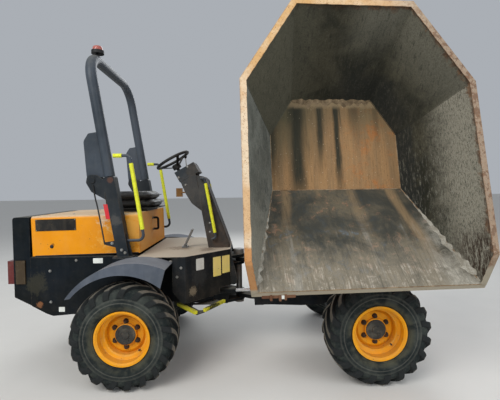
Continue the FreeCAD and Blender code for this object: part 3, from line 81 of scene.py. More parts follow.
class Wire:
    """A number running through a material's nodes, so that sums on it read as plain Python."""

    def __init__(self, bench: "Bench", socket: Socket) -> None:
        """Wrap one output socket of a bench's tree."""
        self.bench = bench
        self.socket = socket

    def sum(self, operation: str, *terms: Number) -> "Wire":
        """Add one Math node.

        Args:
            operation: the node's operation.
            terms: its inputs in order.

        Returns:
            The node's value.
        """
        made = self.bench.node("ShaderNodeMath", {"operation": operation}, dict(enumerate(terms)))
        return Wire(self.bench, made.outputs[0])

    def __add__(self, other: Number) -> "Wire":
        """This plus another."""
        return self.sum("ADD", self, other)

    __radd__ = __add__

    def __sub__(self, other: Number) -> "Wire":
        """This minus another."""
        return self.sum("SUBTRACT", self, other)

    def __rsub__(self, other: Number) -> "Wire":
        """Another minus this."""
        return self.sum("SUBTRACT", other, self)

    def __mul__(self, other: Number) -> "Wire":
        """This times another."""
        return self.sum("MULTIPLY", self, other)

    __rmul__ = __mul__

    def __truediv__(self, other: Number) -> "Wire":
        """This over another."""
        return self.sum("DIVIDE", self, other)

    def __rtruediv__(self, other: Number) -> "Wire":
        """Another over this."""
        return self.sum("DIVIDE", other, self)

    def __neg__(self) -> "Wire":
        """This with its sign turned."""
        return self.sum("MULTIPLY", self, -1.0)

    def __pow__(self, other: Number) -> "Wire":
        """This to a power."""
        return self.sum("POWER", self, other)

    def sine(self) -> "Wire":
        """The sine of this angle in radians."""
        return self.sum("SINE", self)

    def size(self) -> "Wire":
        """This without its sign."""
        return self.sum("ABSOLUTE", self)

    def most(self, other: Number) -> "Wire":
        """The larger of this and another."""
        return self.sum("MAXIMUM", self, other)

    def clipped(self) -> "Wire":
        """This held between 0 and 1."""
        return self.sum("MAXIMUM", self.sum("MINIMUM", self, 1.0), 0.0)

    def rise(self, low: float, high: float) -> "Wire":
        """A smooth step: 0 at low and 1 at high, or the other way round when low is the larger.

        Args:
            low: value that gives 0.
            high: value that gives 1.

        Returns:
            The step's height.
        """
        settings = {"interpolation_type": "SMOOTHSTEP"}
        turned = low > high
        ends = (high, low) if turned else (low, high)
        made = self.bench.node("ShaderNodeMapRange", settings, {0: self, 1: ends[0], 2: ends[1]})
        value = Wire(self.bench, made.outputs[0])
        return 1 - value if turned else value


class Bench:
    """One material's node tree and the tools that add to it."""

    def __init__(self, name: str) -> None:
        """Start an empty material with its place and facing read from the piece itself."""
        self.material = bpy.data.materials.new(name)
        self.material.use_nodes = True
        self.tree = self.material.node_tree
        self.tree.nodes.clear()
        coordinates = self.node("ShaderNodeTexCoord")
        self.place = coordinates.outputs["Object"]
        self.facing = coordinates.outputs["Normal"]

    def node(self, kind: str, settings: dict | None = None, sockets: dict | None = None) -> bpy.types.Node:
        """Add a node.

        Args:
            kind: the node's type name.
            settings: properties set first; "stops" gives a ramp's (position, colour) pairs.
            sockets: values or links by input name or number.

        Returns:
            The node.
        """
        made = self.tree.nodes.new(kind)
        for key, value in (settings or {}).items():
            if key == "stops":
                self.set_stops(made.color_ramp, value)
            else:
                setattr(made, key, value)
        for key, value in (sockets or {}).items():
            source = value.socket if isinstance(value, Wire) else value
            if isinstance(source, Socket):
                self.tree.links.new(source, made.inputs[key])
            else:
                made.inputs[key].default_value = source
        return made

    @staticmethod
    def set_stops(ramp: bpy.types.ColorRamp, stops: Sequence[tuple[float, Rgba]]) -> None:
        """Give a ramp its stops.

        Args:
            ramp: the ramp to set.
            stops: positions and colours, lowest first.
        """
        while len(ramp.elements) < len(stops):
            ramp.elements.new(1.0)
        for element, (position, colour) in zip(ramp.elements, stops):
            element.position = position
            element.color = colour

    def parts(self, vector: Socket) -> tuple[Wire, Wire, Wire]:
        """The three components of a vector."""
        made = self.node("ShaderNodeSeparateXYZ", None, {0: vector})
        return tuple(Wire(self, socket) for socket in made.outputs)

    def stretched(self, vector: Socket, scale: Sequence[float], turn: Sequence[float] = (0, 0, 0)) -> Socket:
        """A vector with each axis scaled, for streaks and grain.

        Args:
            vector: where the pattern is read.
            scale: factors for X, Y and Z.
            turn: angles in radians about X, Y and Z.

        Returns:
            The stretched vector.
        """
        return self.node("ShaderNodeMapping", {"vector_type": "POINT"},
                         {0: vector, "Rotation": turn, "Scale": scale}).outputs[0]

    def moved(self, vector: Socket, matrix: Matrix, kind: str = "POINT") -> Socket:
        """A vector taken through a rigid turn and shift.

        Args:
            vector: the vector in the row frame.
            matrix: the rigid move.
            kind: POINT for a place, VECTOR for a direction.

        Returns:
            The moved vector.
        """
        sockets = {0: vector, "Rotation": tuple(matrix.to_euler("XYZ"))}
        if kind == "POINT":
            sockets["Location"] = tuple(matrix.to_translation())
        return self.node("ShaderNodeMapping", {"vector_type": kind}, sockets).outputs[0]

    def noise(self, vector: Socket, scale: float, detail: float = 4.0, rough: float = 0.55,
              swirl: float = 0.0) -> Wire:
        """Cloudy noise from 0 to 1.

        Args:
            vector: where it is read.
            scale: blots per metre.
            detail: number of finer layers.
            rough: strength of the finer layers.
            swirl: distortion.

        Returns:
            The noise value.
        """
        made = self.node("ShaderNodeTexNoise", None, {
            "Vector": vector, "Scale": scale, "Detail": detail, "Roughness": rough, "Distortion": swirl})
        return Wire(self, made.outputs[0])

    def cells(self, vector: Socket, scale: float, feature: str = "F1") -> Wire:
        """Distance to the nearest of scattered points, for chips, specks and grain.

        Args:
            vector: where it is read.
            scale: points per metre.
            feature: the Voronoi feature.

        Returns:
            The distance.
        """
        made = self.node("ShaderNodeTexVoronoi", {"feature": feature}, {"Vector": vector, "Scale": scale})
        return Wire(self, made.outputs[0])

    def mix(self, share: Number, first: Socket | Rgba, second: Socket | Rgba, blend: str = "MIX") -> Socket:
        """A colour between two others.

        Args:
            share: 0 gives the first, 1 the second.
            first: a colour or link.
            second: a colour or link.
            blend: the Mix node's blend.

        Returns:
            The mixed colour.
        """
        settings = {"data_type": "RGBA", "blend_type": blend, "clamp_factor": True}
        return self.node("ShaderNodeMix", settings, {0: share, 6: first, 7: second}).outputs[2]

    def worn_edges(self, radius: float, low: float = 0.02, high: float = 0.16) -> Wire:
        """How close a point is to a hard edge of the piece: 1 on the edge, 0 away from it.

        Args:
            radius: reach of the edge in metres.
            low: turn of the rounded normal at which wear starts.
            high: turn at which it is full.

        Returns:
            The edge mask.
        """
        soft = self.node("ShaderNodeBevel", {"samples": 4}, {"Radius": radius}).outputs[0]
        hard = self.node("ShaderNodeNewGeometry").outputs["True Normal"]
        both = self.node("ShaderNodeVectorMath", {"operation": "DOT_PRODUCT"}, {0: soft, 1: hard})
        return (1 - Wire(self, both.outputs["Value"])).rise(low, high)

    def bump(self, height: Number, depth: float, strength: float = 1.0) -> Socket:
        """A normal from a height.

        Args:
            height: the relief, from 0 to 1.
            depth: its real depth in metres.
            strength: how far it bends the light.

        Returns:
            The normal.
        """
        return self.node("ShaderNodeBump", None, {
            "Height": height, "Distance": depth, "Strength": strength}).outputs[0]

    def shade(self, base: Socket | Rgba, roughness: Number, normal: Socket | None = None,
              **constants: Number | Rgba) -> bpy.types.Material:
        """Close the tree with one surface shader.

        Args:
            base: the colour.
            roughness: the roughness.
            normal: the bent normal, if any.
            constants: other sockets, by name with underscores for spaces.

        Returns:
            The finished material.
        """
        sockets = {"Base Color": base, "Roughness": roughness}
        if normal is not None:
            sockets["Normal"] = normal
        sockets.update({key.replace("_", " "): value for key, value in constants.items()})
        surface = self.node("ShaderNodeBsdfPrincipled", None, sockets)
        self.node("ShaderNodeOutputMaterial", None, {"Surface": surface.outputs[0]})
        return self.material


# Finishes


@dataclass(frozen=True)
class Smudge:
    """A local mark in a paint: its middle in metres, reach, colour and strength."""

    middle: tuple[float, float, float]
    reach: float
    colour: Rgba
    share: float


@dataclass(frozen=True)
class Paint:
    """Paint or moulded plastic with the dust, splashes, chips and worn edges it has gathered."""

    name: str
    colour: Rgba
    faded: Rgba
    dust: Rgba = paint_chip(150, 142, 131)
    dust_up: float = 0.6
    dust_side: float = 0.12
    mud: Rgba = paint_chip(104, 92, 76)
    mud_low: float = 0.25
    mud_high: float = 0.95
    mud_share: float = 0.5
    chips: float = 0.25
    chip: Rgba = paint_chip(74, 56, 44)
    edge_share: float = 0.5
    edge: Rgba = paint_chip(120, 108, 92)
    roughness: float = 0.42
    relief: float = 0.0006
    gloss: float = 0.18
    smudges: tuple[Smudge, ...] = ()

    def make(self) -> bpy.types.Material:
        """Build the material."""
        bench = Bench(self.name)
        height = bench.parts(bench.place)[2]
        upward = bench.parts(bench.facing)[2].rise(0.25, 0.92)
        cloud = bench.noise(bench.place, 2.1, 5, 0.62)
        patch = bench.noise(bench.place, 11.0, 5, 0.65, 0.4)
        grit = bench.noise(bench.place, 160.0, 3, 0.6)
        runs = bench.noise(bench.stretched(bench.place, (17, 17, 1.6)), 1.0, 4, 0.6)
        base = bench.mix(cloud.rise(0.35, 0.7), self.colour, self.faded)
        base = bench.mix((runs - 0.5).size() * 0.5, base, self.faded)
        side_dust = (runs.rise(0.4, 0.75) * 0.6 + patch.rise(0.42, 0.72) * 0.7 + grit * 0.25) * self.dust_side
        top_dust = upward * (0.62 + 0.5 * patch) * (0.75 + 0.5 * grit) * self.dust_up
        splash = height.rise(self.mud_high, self.mud_low) * (patch.rise(0.3, 0.65) * 0.7 + grit * 0.5)
        base = bench.mix((side_dust + top_dust).clipped(), base, self.dust)
        base = bench.mix((splash * self.mud_share).clipped(), base, self.mud)
        specks = bench.cells(bench.place, 34.0).rise(0.2, 0.08) * patch.rise(0.52, 0.6)
        base = bench.mix((specks * self.chips).clipped(), base, self.chip)
        edges = bench.worn_edges(0.004) * patch.rise(0.36, 0.62)
        base = bench.mix((edges * self.edge_share).clipped(), base, self.edge)
        ragged = bench.noise(bench.place, 48.0, 6, 0.78, 0.5)
        for smudge in self.smudges:
            away = bench.node("ShaderNodeVectorMath", {"operation": "DISTANCE"}, {0: bench.place, 1: smudge.middle})
            near = (Wire(bench, away.outputs["Value"]) / smudge.reach + (ragged + patch - 1.0) * 2.2).rise(1.0, 0.55)
            base = bench.mix((near * smudge.share * (0.5 + grit)).clipped(), base, smudge.colour)
        loose = (side_dust + top_dust + splash * self.mud_share).clipped()
        relief = patch * 0.35 + grit * 0.4 - specks * 0.6 * self.chips
        return bench.shade(base, (self.roughness + loose * 0.4 + grit * 0.08).clipped(),
                           bench.bump(relief, self.relief, 0.5), Specular_IOR_Level=self.gloss)


@dataclass(frozen=True)
class Streak:
    """One run down the skip's plates: its place across, half width, strength and where it fades out."""

    centre: float
    half: float
    share: float
    end: float


@dataclass(frozen=True)
class SkipSteel:
    """The tub: bare rusted floor, dusty sloping front, grimed walls inside, worn orange outside."""

    name: str
    to_skip: Matrix
    floor_z: float
    fold_x: float
    streaks: tuple[Streak, ...] = (Streak(-0.330, 0.085, 0.95, 0.62), Streak(-0.125, 0.038, 0.9, 0.30),
                                   Streak(0.030, 0.034, 0.95, 0.52), Streak(0.20, 0.06, 0.6, 0.0),
                                   Streak(-0.58, 0.08, 0.8, 0.45), Streak(0.40, 0.03, 0.35, 0.1))
    tans: tuple[Streak, ...] = (Streak(-0.46, 0.045, 0.75, 0.80), Streak(-0.185, 0.022, 0.8, 0.53),
                                Streak(0.11, 0.05, 0.45, 0.85), Streak(0.46, 0.05, 0.8, 1.05))

    def make(self) -> bpy.types.Material:
        """Build the material from the place and facing turned into the level skip's frame."""
        bench = Bench(self.name)
        place = bench.moved(bench.place, self.to_skip)
        facing = bench.moved(bench.facing, self.to_skip, "VECTOR")
        along, across, high = bench.parts(place)
        lean_x, lean_y, lean_z = bench.parts(facing)
        inward = -(along * lean_x) - across * lean_y + (1.45 - high) * lean_z
        inside = inward.rise(-0.01, 0.01)
        cloud = bench.noise(place, 2.6, 7, 0.66, 0.4)
        patch = bench.noise(place, 12.0, 7, 0.7, 0.8)
        grit = bench.noise(place, 140.0, 4, 0.75)
        wide = bench.noise(bench.stretched(place, (1.1, 11.0, 1.1)), 1.0, 6, 0.62, 0.3)
        fine = bench.noise(bench.stretched(place, (6.0, 90.0, 6.0)), 1.0, 6, 0.74, 0.25)
        floor = self.floor(bench, along, across, cloud, patch, grit, wide, fine)
        front = self.front(bench, along, across, cloud, patch, grit, wide, fine)
        walls = self.walls(bench, place, along, across, high, lean_x, cloud, patch, grit)
        flat = lean_z.rise(0.93, 0.97)
        forward = lean_x.rise(-0.35, -0.5) * lean_z.rise(0.6, 0.75)
        colour = bench.mix(forward, walls, front)
        colour = bench.mix(flat, colour, floor)
        colour = bench.mix(inside, self.outside(bench, along, high, cloud, patch, grit), colour)
        scrape = fine.rise(0.55, 0.75)
        relief = cloud * 0.9 + patch * 0.5 + grit * 0.2 - scrape * 0.08
        return bench.shade(colour, (0.68 + grit * 0.24 - scrape * 0.12).clipped(),
                           bench.bump(relief, 0.004, 0.6), Specular_IOR_Level=0.2)

    def floor(self, bench: Bench, along: Wire, across: Wire, cloud: Wire, patch: Wire, grit: Wire, wide: Wire,
              fine: Wire) -> Socket:
        """Rust-brown floor with dark oily runs that fade towards the fold, and a greener left edge."""
        colour = bench.mix(wide.rise(0.36, 0.64), paint_chip(134, 108, 78), paint_chip(154, 120, 82))
        warm = patch.rise(0.44, 0.66) * cloud.rise(0.4, 0.6) * across.rise(-0.1, 0.35)
        colour = bench.mix((warm * 0.85).clipped(), colour, paint_chip(182, 106, 44))
        colour = bench.mix((fine.rise(0.5, 0.75) * 0.35).clipped(), colour, paint_chip(168, 142, 102))
        colour = bench.mix((fine.rise(0.47, 0.34) * 0.5).clipped(), colour, paint_chip(104, 78, 52))
        grime = (across.rise(0.0, -0.42) * along.rise(0.24, -0.12) * 0.75 + along.rise(-0.12, -0.4) * 0.45
                 + across.rise(0.1, 0.3) * along.rise(0.05, -0.3) * 0.35)
        colour = bench.mix((grime * (0.45 + cloud * 0.8)).clipped(), colour, paint_chip(88, 84, 64))
        wander = across + (wide - 0.5) * 0.10 + (fine - 0.5) * 0.04
        for streak in self.streaks:
            run = (wander - streak.centre).size().rise(streak.half * (1.25), streak.half * 0.2)
            fade = along.rise(streak.end, streak.end - 0.45) * (0.55 + 0.8 * fine) * streak.share
            colour = bench.mix((run * fade * 1.1).clipped(), colour, paint_chip(46, 47, 38))
        ledge = (along + 0.375 + 0.05 * patch).rise(0.02, -0.03)
        colour = bench.mix((ledge * 0.9).clipped(), colour, paint_chip(138, 120, 92))
        flecks = bench.cells(bench.place, 27.0).rise(0.14, 0.06) * grit.rise(0.4, 0.6)
        colour = bench.mix((flecks * 0.8).clipped(), colour, paint_chip(196, 184, 160))
        pits = bench.cells(bench.place, 46.0).rise(0.20, 0.07) * patch.rise(0.42, 0.52)
        colour = bench.mix((pits * 0.7).clipped(), colour, paint_chip(58, 46, 34))
        return bench.mix((grit.rise(0.5, 0.74) * 0.55).clipped(), colour, paint_chip(78, 58, 40))

    def front(self, bench: Bench, along: Wire, across: Wire, cloud: Wire, patch: Wire, grit: Wire, wide: Wire,
              fine: Wire) -> Socket:
        """Sloping front: dark grey-brown at the fold, then blotched, and pale with short strokes at the lip."""
        share = along.rise(self.fold_x, 1.13)
        colour = bench.mix(cloud.rise(0.38, 0.62), paint_chip(60, 60, 54), paint_chip(98, 90, 74))
        slate = patch.rise(0.5, 0.34) * across.rise(0.5, 0.1)
        colour = bench.mix((slate * 0.6).clipped(), colour, paint_chip(60, 66, 68))
        rust = patch.rise(0.54, 0.66) * cloud.rise(0.40, 0.55)
        colour = bench.mix((rust * 0.85).clipped(), colour, paint_chip(142, 108, 86))
        frost = patch.rise(0.46, 0.34) * cloud.rise(0.46, 0.6) * share.rise(0.2, 0.5)
        colour = bench.mix((frost * 0.7).clipped(), colour, paint_chip(108, 118, 126))
        spread = across / (1.0 + 0.30 * share) + (wide - 0.5) * 0.08
        for streak in self.tans:
            run = (spread - streak.centre).size().rise(streak.half * 1.3, streak.half * 0.2)
            fade = along.rise(streak.end, streak.end - 0.35) * (0.35 + fine) * streak.share
            colour = bench.mix((run * fade).clipped(), colour, paint_chip(146, 122, 90))
        pale = (share * 1.0 + cloud * 0.6 + patch * 0.5 - 1.12).clipped() * 1.5
        colour = bench.mix((pale * (0.3 + fine * 1.1)).clipped(), colour, paint_chip(148, 139, 122))
        veils = wide.rise(0.5, 0.66) * cloud.rise(0.4, 0.6) * share.rise(0.15, 0.5)
        colour = bench.mix((veils * 0.55).clipped(), colour, paint_chip(150, 148, 140))
        strokes = fine.rise(0.54, 0.74) * (share - 0.45).clipped() * 0.8 * patch.rise(0.42, 0.6)
        colour = bench.mix(strokes.clipped(), colour, paint_chip(184, 178, 166))
        crust = (share + patch * 0.3).rise(1.06, 1.12) * fine.rise(0.45, 0.6) * patch.rise(0.48, 0.6)
        colour = bench.mix((crust * 0.45).clipped(), colour, paint_chip(190, 184, 172))
        seam = across.rise(0.50, 0.66) * share.rise(0.1, 0.5) * patch.rise(0.3, 0.6)
        colour = bench.mix((seam * 0.6).clipped(), colour, paint_chip(166, 162, 150))
        darks = fine.rise(0.46, 0.36) * (1 - share * 0.3) * 0.35 + wide.rise(0.44, 0.3) * 0.5 * (1 - share * 0.6)
        colour = bench.mix(darks.clipped(), colour, paint_chip(52, 50, 44))
        return bench.mix((grit.rise(0.5, 0.74) * 0.5).clipped(), colour, paint_chip(52, 48, 42))

    def walls(self, bench: Bench, place: Socket, along: Wire, across: Wire, high: Wire, lean_x: Wire, cloud: Wire,
              patch: Wire, grit: Wire) -> Socket:
        """Walls: dark green-grey grime, speckled, with the right side wall lighter towards the rim and darker below a
        ragged line, and rust and a painted shadow line under the rim.
        """
        speckle = bench.noise(bench.stretched(place, (44.0, 120.0, 130.0)), 1.0, 6, 0.84, 0.5)
        scuff = bench.noise(bench.stretched(place, (13.0, 60.0, 70.0), (0.0, 0.12, 0.1)), 1.0, 6, 0.82, 0.4)
        grain = bench.noise(bench.stretched(place, (5.0, 60.0, 14.0)), 1.0, 6, 0.75, 0.3)
        side = lean_x.size().rise(0.3, 0.1)
        right = across.rise(-0.1, 0.2)
        colour = bench.mix(cloud.rise(0.38, 0.62), paint_chip(38, 38, 29), paint_chip(66, 63, 50))
        colour = bench.mix((patch.rise(0.44, 0.3) * 0.6).clipped(), colour, paint_chip(30, 31, 27))
        left = across.rise(0.1, -0.3) * side * (0.5 + cloud.rise(0.35, 0.6) * 0.5)
        colour = bench.mix(left.clipped(), colour, paint_chip(122, 124, 116))
        back = across.rise(-0.12, -0.45) * (1 - side) * (0.4 + patch * 0.6)
        colour = bench.mix(back.clipped(), colour, paint_chip(92, 90, 76))
        slate = left * patch.rise(0.5, 0.36) * high.rise(1.5, 1.2)
        colour = bench.mix((slate * 0.9).clipped(), colour, paint_chip(56, 60, 61))
        chalk = across.rise(0.0, -0.3) * side * (along + patch * 0.4).rise(0.55, 1.15)
        colour = bench.mix((chalk * 0.9).clipped(), colour, paint_chip(140, 136, 122))
        # the right side wall is lighter towards the rim and darker below, split along a ragged diagonal line
        dry = side * right * (high + patch * 0.22 + cloud * 0.14).rise(1.3, 1.62)
        colour = bench.mix((dry * 0.95).clipped(), colour, paint_chip(140, 136, 122))
        deep = side * right * (high + patch * 0.35 + cloud * 0.1).rise(1.36, 1.24) * (0.35 + scuff.rise(0.6, 0.45))
        colour = bench.mix((deep * 0.8).clipped(), colour, paint_chip(38, 40, 38))
        corner = (1 - side) * right * (high + cloud * 0.3).rise(1.25, 1.7)
        colour = bench.mix((corner * 0.8).clipped(), colour, paint_chip(106, 104, 92))
        pool = (1 - side) * right * (high + cloud * 0.3 + patch * 0.1).rise(1.45, 1.25)
        colour = bench.mix((pool * 0.7).clipped(), colour, paint_chip(36, 38, 36))
        colour = bench.mix((grain.rise(0.52, 0.68) * 0.4 * (1 - side)).clipped(), colour, paint_chip(84, 80, 66))
        colour = bench.mix((grain.rise(0.47, 0.34) * 0.55 * (1 - side)).clipped(), colour, paint_chip(28, 28, 24))
        marks = scuff.rise(0.52, 0.64) * (0.08 + 0.6 * side * along.rise(-0.3, 0.4))
        colour = bench.mix(marks.clipped(), colour, paint_chip(142, 140, 128))
        dark = speckle.rise(0.52, 0.40) * (0.45 + 0.3 * right * side)
        colour = bench.mix(dark.clipped(), colour, paint_chip(34, 34, 29))
        low = right * side * (along + patch * 0.3).rise(0.82, 1.02) * (high + cloud * 0.1).rise(1.3, 1.5)
        colour = bench.mix((low * scuff.rise(0.62, 0.42)).clipped(), colour, paint_chip(48, 36, 27))
        crust = (bench.noise(place, 9.0, 5, 0.7) * 0.16 + along * 0.28 + high * 0.1).rise(0.46, 0.5) * side
        pale = crust * high.rise(1.44, 1.3) * speckle.rise(0.36, 0.6)
        colour = bench.mix((pale * 0.5).clipped(), colour, paint_chip(150, 147, 136))
        # partly rust, partly painted shadow: the wall tops just below the rim are darkened all round, most on the right
        rust = (patch * 0.16 + high).rise(1.625, 1.66) * (0.35 + 0.65 * right)
        colour = bench.mix((rust * 0.85).clipped(), colour, bench.mix(scuff.rise(0.45, 0.6), paint_chip(66, 46, 34),
                                                                      paint_chip(112, 80, 54)))
        return bench.mix((grit.rise(0.52, 0.74) * 0.4).clipped(), colour, paint_chip(26, 26, 22))

    def outside(self, bench: Bench, along: Wire, high: Wire, cloud: Wire, patch: Wire, grit: Wire) -> Socket:
        """Outer faces: orange paint rubbed, chipped to rust and dusty."""
        colour = bench.mix(cloud.rise(0.35, 0.7), paint_chip(236, 140, 10), paint_chip(206, 124, 26))
        colour = bench.mix((patch.rise(0.42, 0.68) * 0.4).clipped(), colour, paint_chip(160, 140, 112))
        chips = bench.cells(bench.place, 22.0).rise(0.22, 0.1) * patch.rise(0.5, 0.58)
        colour = bench.mix((chips * 0.9).clipped(), colour, paint_chip(92, 60, 40))
        edges = bench.worn_edges(0.006) * patch.rise(0.4, 0.6)
        colour = bench.mix((edges * 0.8 + grit.rise(0.62, 0.8) * 0.3).clipped(), colour, paint_chip(104, 84, 64))
        cut = high.rise(1.572, 1.577).most(along.rise(1.115, 1.125))
        return bench.mix(cut, colour, bench.mix(patch.rise(0.4, 0.6), paint_chip(112, 88, 64), paint_chip(150, 130, 102)))


@dataclass(frozen=True)
class BandPaint:
    """Outer band of the skip: sun-bleached orange, rubbed to rust along its edges and sandy with dust, with painted
    shade below its top face.
    """

    name: str
    to_skip: Matrix

    def make(self) -> bpy.types.Material:
        """Build the material."""
        bench = Bench(self.name)
        place = bench.moved(bench.place, self.to_skip)
        along, across, high = bench.parts(place)
        cloud = bench.noise(place, 3.2, 5, 0.6)
        patch = bench.noise(place, 21.0, 5, 0.7, 0.5)
        grit = bench.noise(place, 180.0, 3, 0.7)
        colour = bench.mix(cloud.rise(0.4, 0.6), paint_chip(212, 192, 164), paint_chip(198, 164, 124))
        colour = bench.mix((patch.rise(0.52, 0.72) * 0.4).clipped(), colour, paint_chip(190, 132, 66))
        dusty = across.rise(0.1, 0.7) * 1.1
        colour = bench.mix((dusty * (0.6 + 0.5 * grit)).clipped(), colour, paint_chip(138, 120, 102))
        gilt = across.rise(0.2, -0.2) * along.rise(-0.25, -0.5)
        colour = bench.mix((gilt * (0.2 + patch * 0.5)).clipped(), colour, paint_chip(190, 144, 72))
        lower = (along - 0.86 + 0.03 * patch).rise(0.0, 0.02) * across.rise(0.0, -0.3)
        colour = bench.mix((lower * 0.85).clipped(), colour, paint_chip(176, 118, 58))
        # painted shade: the band is darkened everywhere below its top face, standing in for the shade under the rim's
        # inner step
        inner = (high - 1.574).rise(-0.004, 0.003)
        colour = bench.mix((1 - inner) * 0.3, colour, paint_chip(96, 78, 58))
        edges = bench.worn_edges(0.007) * patch.rise(0.36, 0.6)
        colour = bench.mix((edges * 0.75).clipped(), colour, paint_chip(112, 78, 52))
        peeled = patch.rise(0.5, 0.56) * across.rise(0.3, 0.7)
        colour = bench.mix((peeled * 0.75).clipped(), colour, paint_chip(98, 72, 54))
        scuffs = bench.noise(bench.stretched(place, (60.0, 60.0, 60.0)), 1.0, 5, 0.8, 0.6)
        colour = bench.mix((scuffs.rise(0.5, 0.36) * 0.45).clipped(), colour, paint_chip(140, 100, 66))
        specks = bench.cells(place, 60.0).rise(0.3, 0.12) * patch.rise(0.44, 0.56)
        colour = bench.mix((specks * 0.8).clipped(), colour, paint_chip(126, 84, 56))
        lip = (along + 0.02 * patch).rise(1.13, 1.15).most(across.rise(0.3, 0.5) * along.rise(1.0, 1.05))
        colour = bench.mix(lip * 0.95, colour, bench.mix(grit, paint_chip(124, 116, 100), paint_chip(158, 150, 132)))
        relief = patch * 0.5 + grit * 0.35 - specks * 0.4
        return bench.shade(colour, (0.55 + grit * 0.3).clipped(), bench.bump(relief, 0.0012, 0.6),
                           Specular_IOR_Level=0.25)


@dataclass(frozen=True)
class Rubber:
    """Tyre rubber: grey with dry dust in the tread's gaps and scuffs on the bar tops."""

    name: str

    def make(self) -> bpy.types.Material:
        """Build the material, with the bars' height read from the piece's own attribute."""
        bench = Bench(self.name)
        worn = Wire(bench, bench.node("ShaderNodeAttribute", {"attribute_name": "bar_height"}).outputs["Fac"])
        wall = worn.rise(-1.2, -0.9) * worn.rise(0.0, -0.02)
        cloud = bench.noise(bench.place, 7.0, 5, 0.6, 0.3)
        patch = bench.noise(bench.place, 34.0, 4, 0.65)
        grit = bench.noise(bench.place, 240.0, 3, 0.7)
        bar = worn.rise(0.02, 0.1)
        base = bench.mix(cloud.rise(0.3, 0.7), paint_chip(25, 31, 32), paint_chip(42, 48, 47))
        dust = (cloud.rise(0.42, 0.7) * 0.55 + patch.rise(0.45, 0.7) * 0.45) * (1 - bar)
        base = bench.mix((dust * 0.4).clipped(), base, paint_chip(92, 94, 86))
        near_rim = worn.rise(-0.42, -0.2) * wall
        base = bench.mix((near_rim * cloud.rise(0.36, 0.56) * 0.6).clipped(), base, paint_chip(78, 76, 60))
        ring = ((worn + 0.46).size().rise(0.03, 0.01) + (worn + 0.60).size().rise(0.05, 0.015) * 0.5) * wall
        base = bench.mix((ring * (0.1 + patch * 0.7)).clipped(), base, paint_chip(100, 99, 92))
        base = bench.mix(bar * 0.85, base, bench.mix(patch, paint_chip(24, 26, 27), paint_chip(46, 48, 48)))
        crown = worn.rise(0.7, 0.98) * (0.45 + 0.6 * patch)
        base = bench.mix((crown * 0.85).clipped(), base, paint_chip(140, 132, 118))
        base = bench.mix((grit.rise(0.58, 0.8) * 0.4).clipped(), base, paint_chip(24, 26, 27))
        relief = patch * 0.3 + grit * 0.4
        return bench.shade(base, (0.78 + grit * 0.16 - worn * 0.06).clipped(), bench.bump(relief, 0.0012, 0.6),
                           Specular_IOR_Level=0.15)


@dataclass(frozen=True)
class Metal:
    """Bare or plated steel with an oily or rusty bloom."""

    name: str
    colour: Rgba
    bloom: Rgba
    bloom_share: float = 0.4
    roughness: float = 0.4
    metallic: float = 0.9
    relief: float = 0.0008

    def make(self) -> bpy.types.Material:
        """Build the material."""
        bench = Bench(self.name)
        cloud = bench.noise(bench.place, 9.0, 5, 0.6)
        grit = bench.noise(bench.place, 150.0, 3, 0.65)
        bloom = (cloud.rise(0.42, 0.68) * 0.8 + grit * 0.4) * self.bloom_share
        base = bench.mix(bloom.clipped(), self.colour, self.bloom)
        shine = (1 - bloom * 0.9).clipped() * self.metallic
        return bench.shade(base, (self.roughness + bloom * 0.5 + grit * 0.06).clipped(),
                           bench.bump(cloud * 0.4 + grit * 0.5, self.relief, 0.5), Metallic=shine)


@dataclass(frozen=True)
class Vinyl:
    """Seat cover: black grained vinyl with creases and ground-in dust."""

    name: str
    colour: Rgba = paint_chip(34, 35, 37)

    def make(self) -> bpy.types.Material:
        """Build the material."""
        bench = Bench(self.name)
        upward = bench.parts(bench.facing)[2].rise(0.2, 0.95)
        grain = bench.cells(bench.place, 620.0, "DISTANCE_TO_EDGE").rise(0.0, 0.35)
        crease = bench.noise(bench.stretched(bench.place, (10, 26, 14)), 1.0, 5, 0.6, 1.4)
        cloud = bench.noise(bench.place, 13.0, 5, 0.65)
        dust = upward * cloud.rise(0.4, 0.7) * 0.5 + crease.rise(0.55, 0.75) * 0.18
        base = bench.mix(dust.clipped(), self.colour, paint_chip(108, 102, 92))
        base = bench.mix((grain.rise(0.6, 0.1) * 0.4).clipped(), base, paint_chip(20, 20, 21))
        relief = grain * 0.4 + crease * 0.8
        return bench.shade(base, (0.46 + dust * 0.5 + cloud * 0.1).clipped(),
                           bench.bump(relief, 0.0016, 0.55), Coat_Weight=0.06)


@dataclass(frozen=True)
class Sleeve:
    """Soft ribbed handrail sleeve, bright lemon yellow with handling marks."""

    name: str
    colour: Rgba = paint_chip(226, 232, 44)

    def make(self) -> bpy.types.Material:
        """Build the material."""
        bench = Bench(self.name)
        height = bench.parts(bench.place)[2]
        ribs = (height * 520.0).sine() * 0.5 + 0.5
        cloud = bench.noise(bench.place, 16.0, 5, 0.65)
        smear = bench.noise(bench.place, 70.0, 4, 0.7)
        base = bench.mix(cloud.rise(0.35, 0.75), self.colour, paint_chip(198, 202, 36))
        base = bench.mix((smear.rise(0.55, 0.75) * 0.55).clipped(), base, paint_chip(120, 116, 70))
        base = bench.mix((ribs.rise(0.3, 0.0) * 0.16).clipped(), base, paint_chip(140, 138, 60))
        return bench.shade(base, (0.5 + smear * 0.25).clipped(), bench.bump(ribs + smear * 0.4, 0.0009, 0.6))


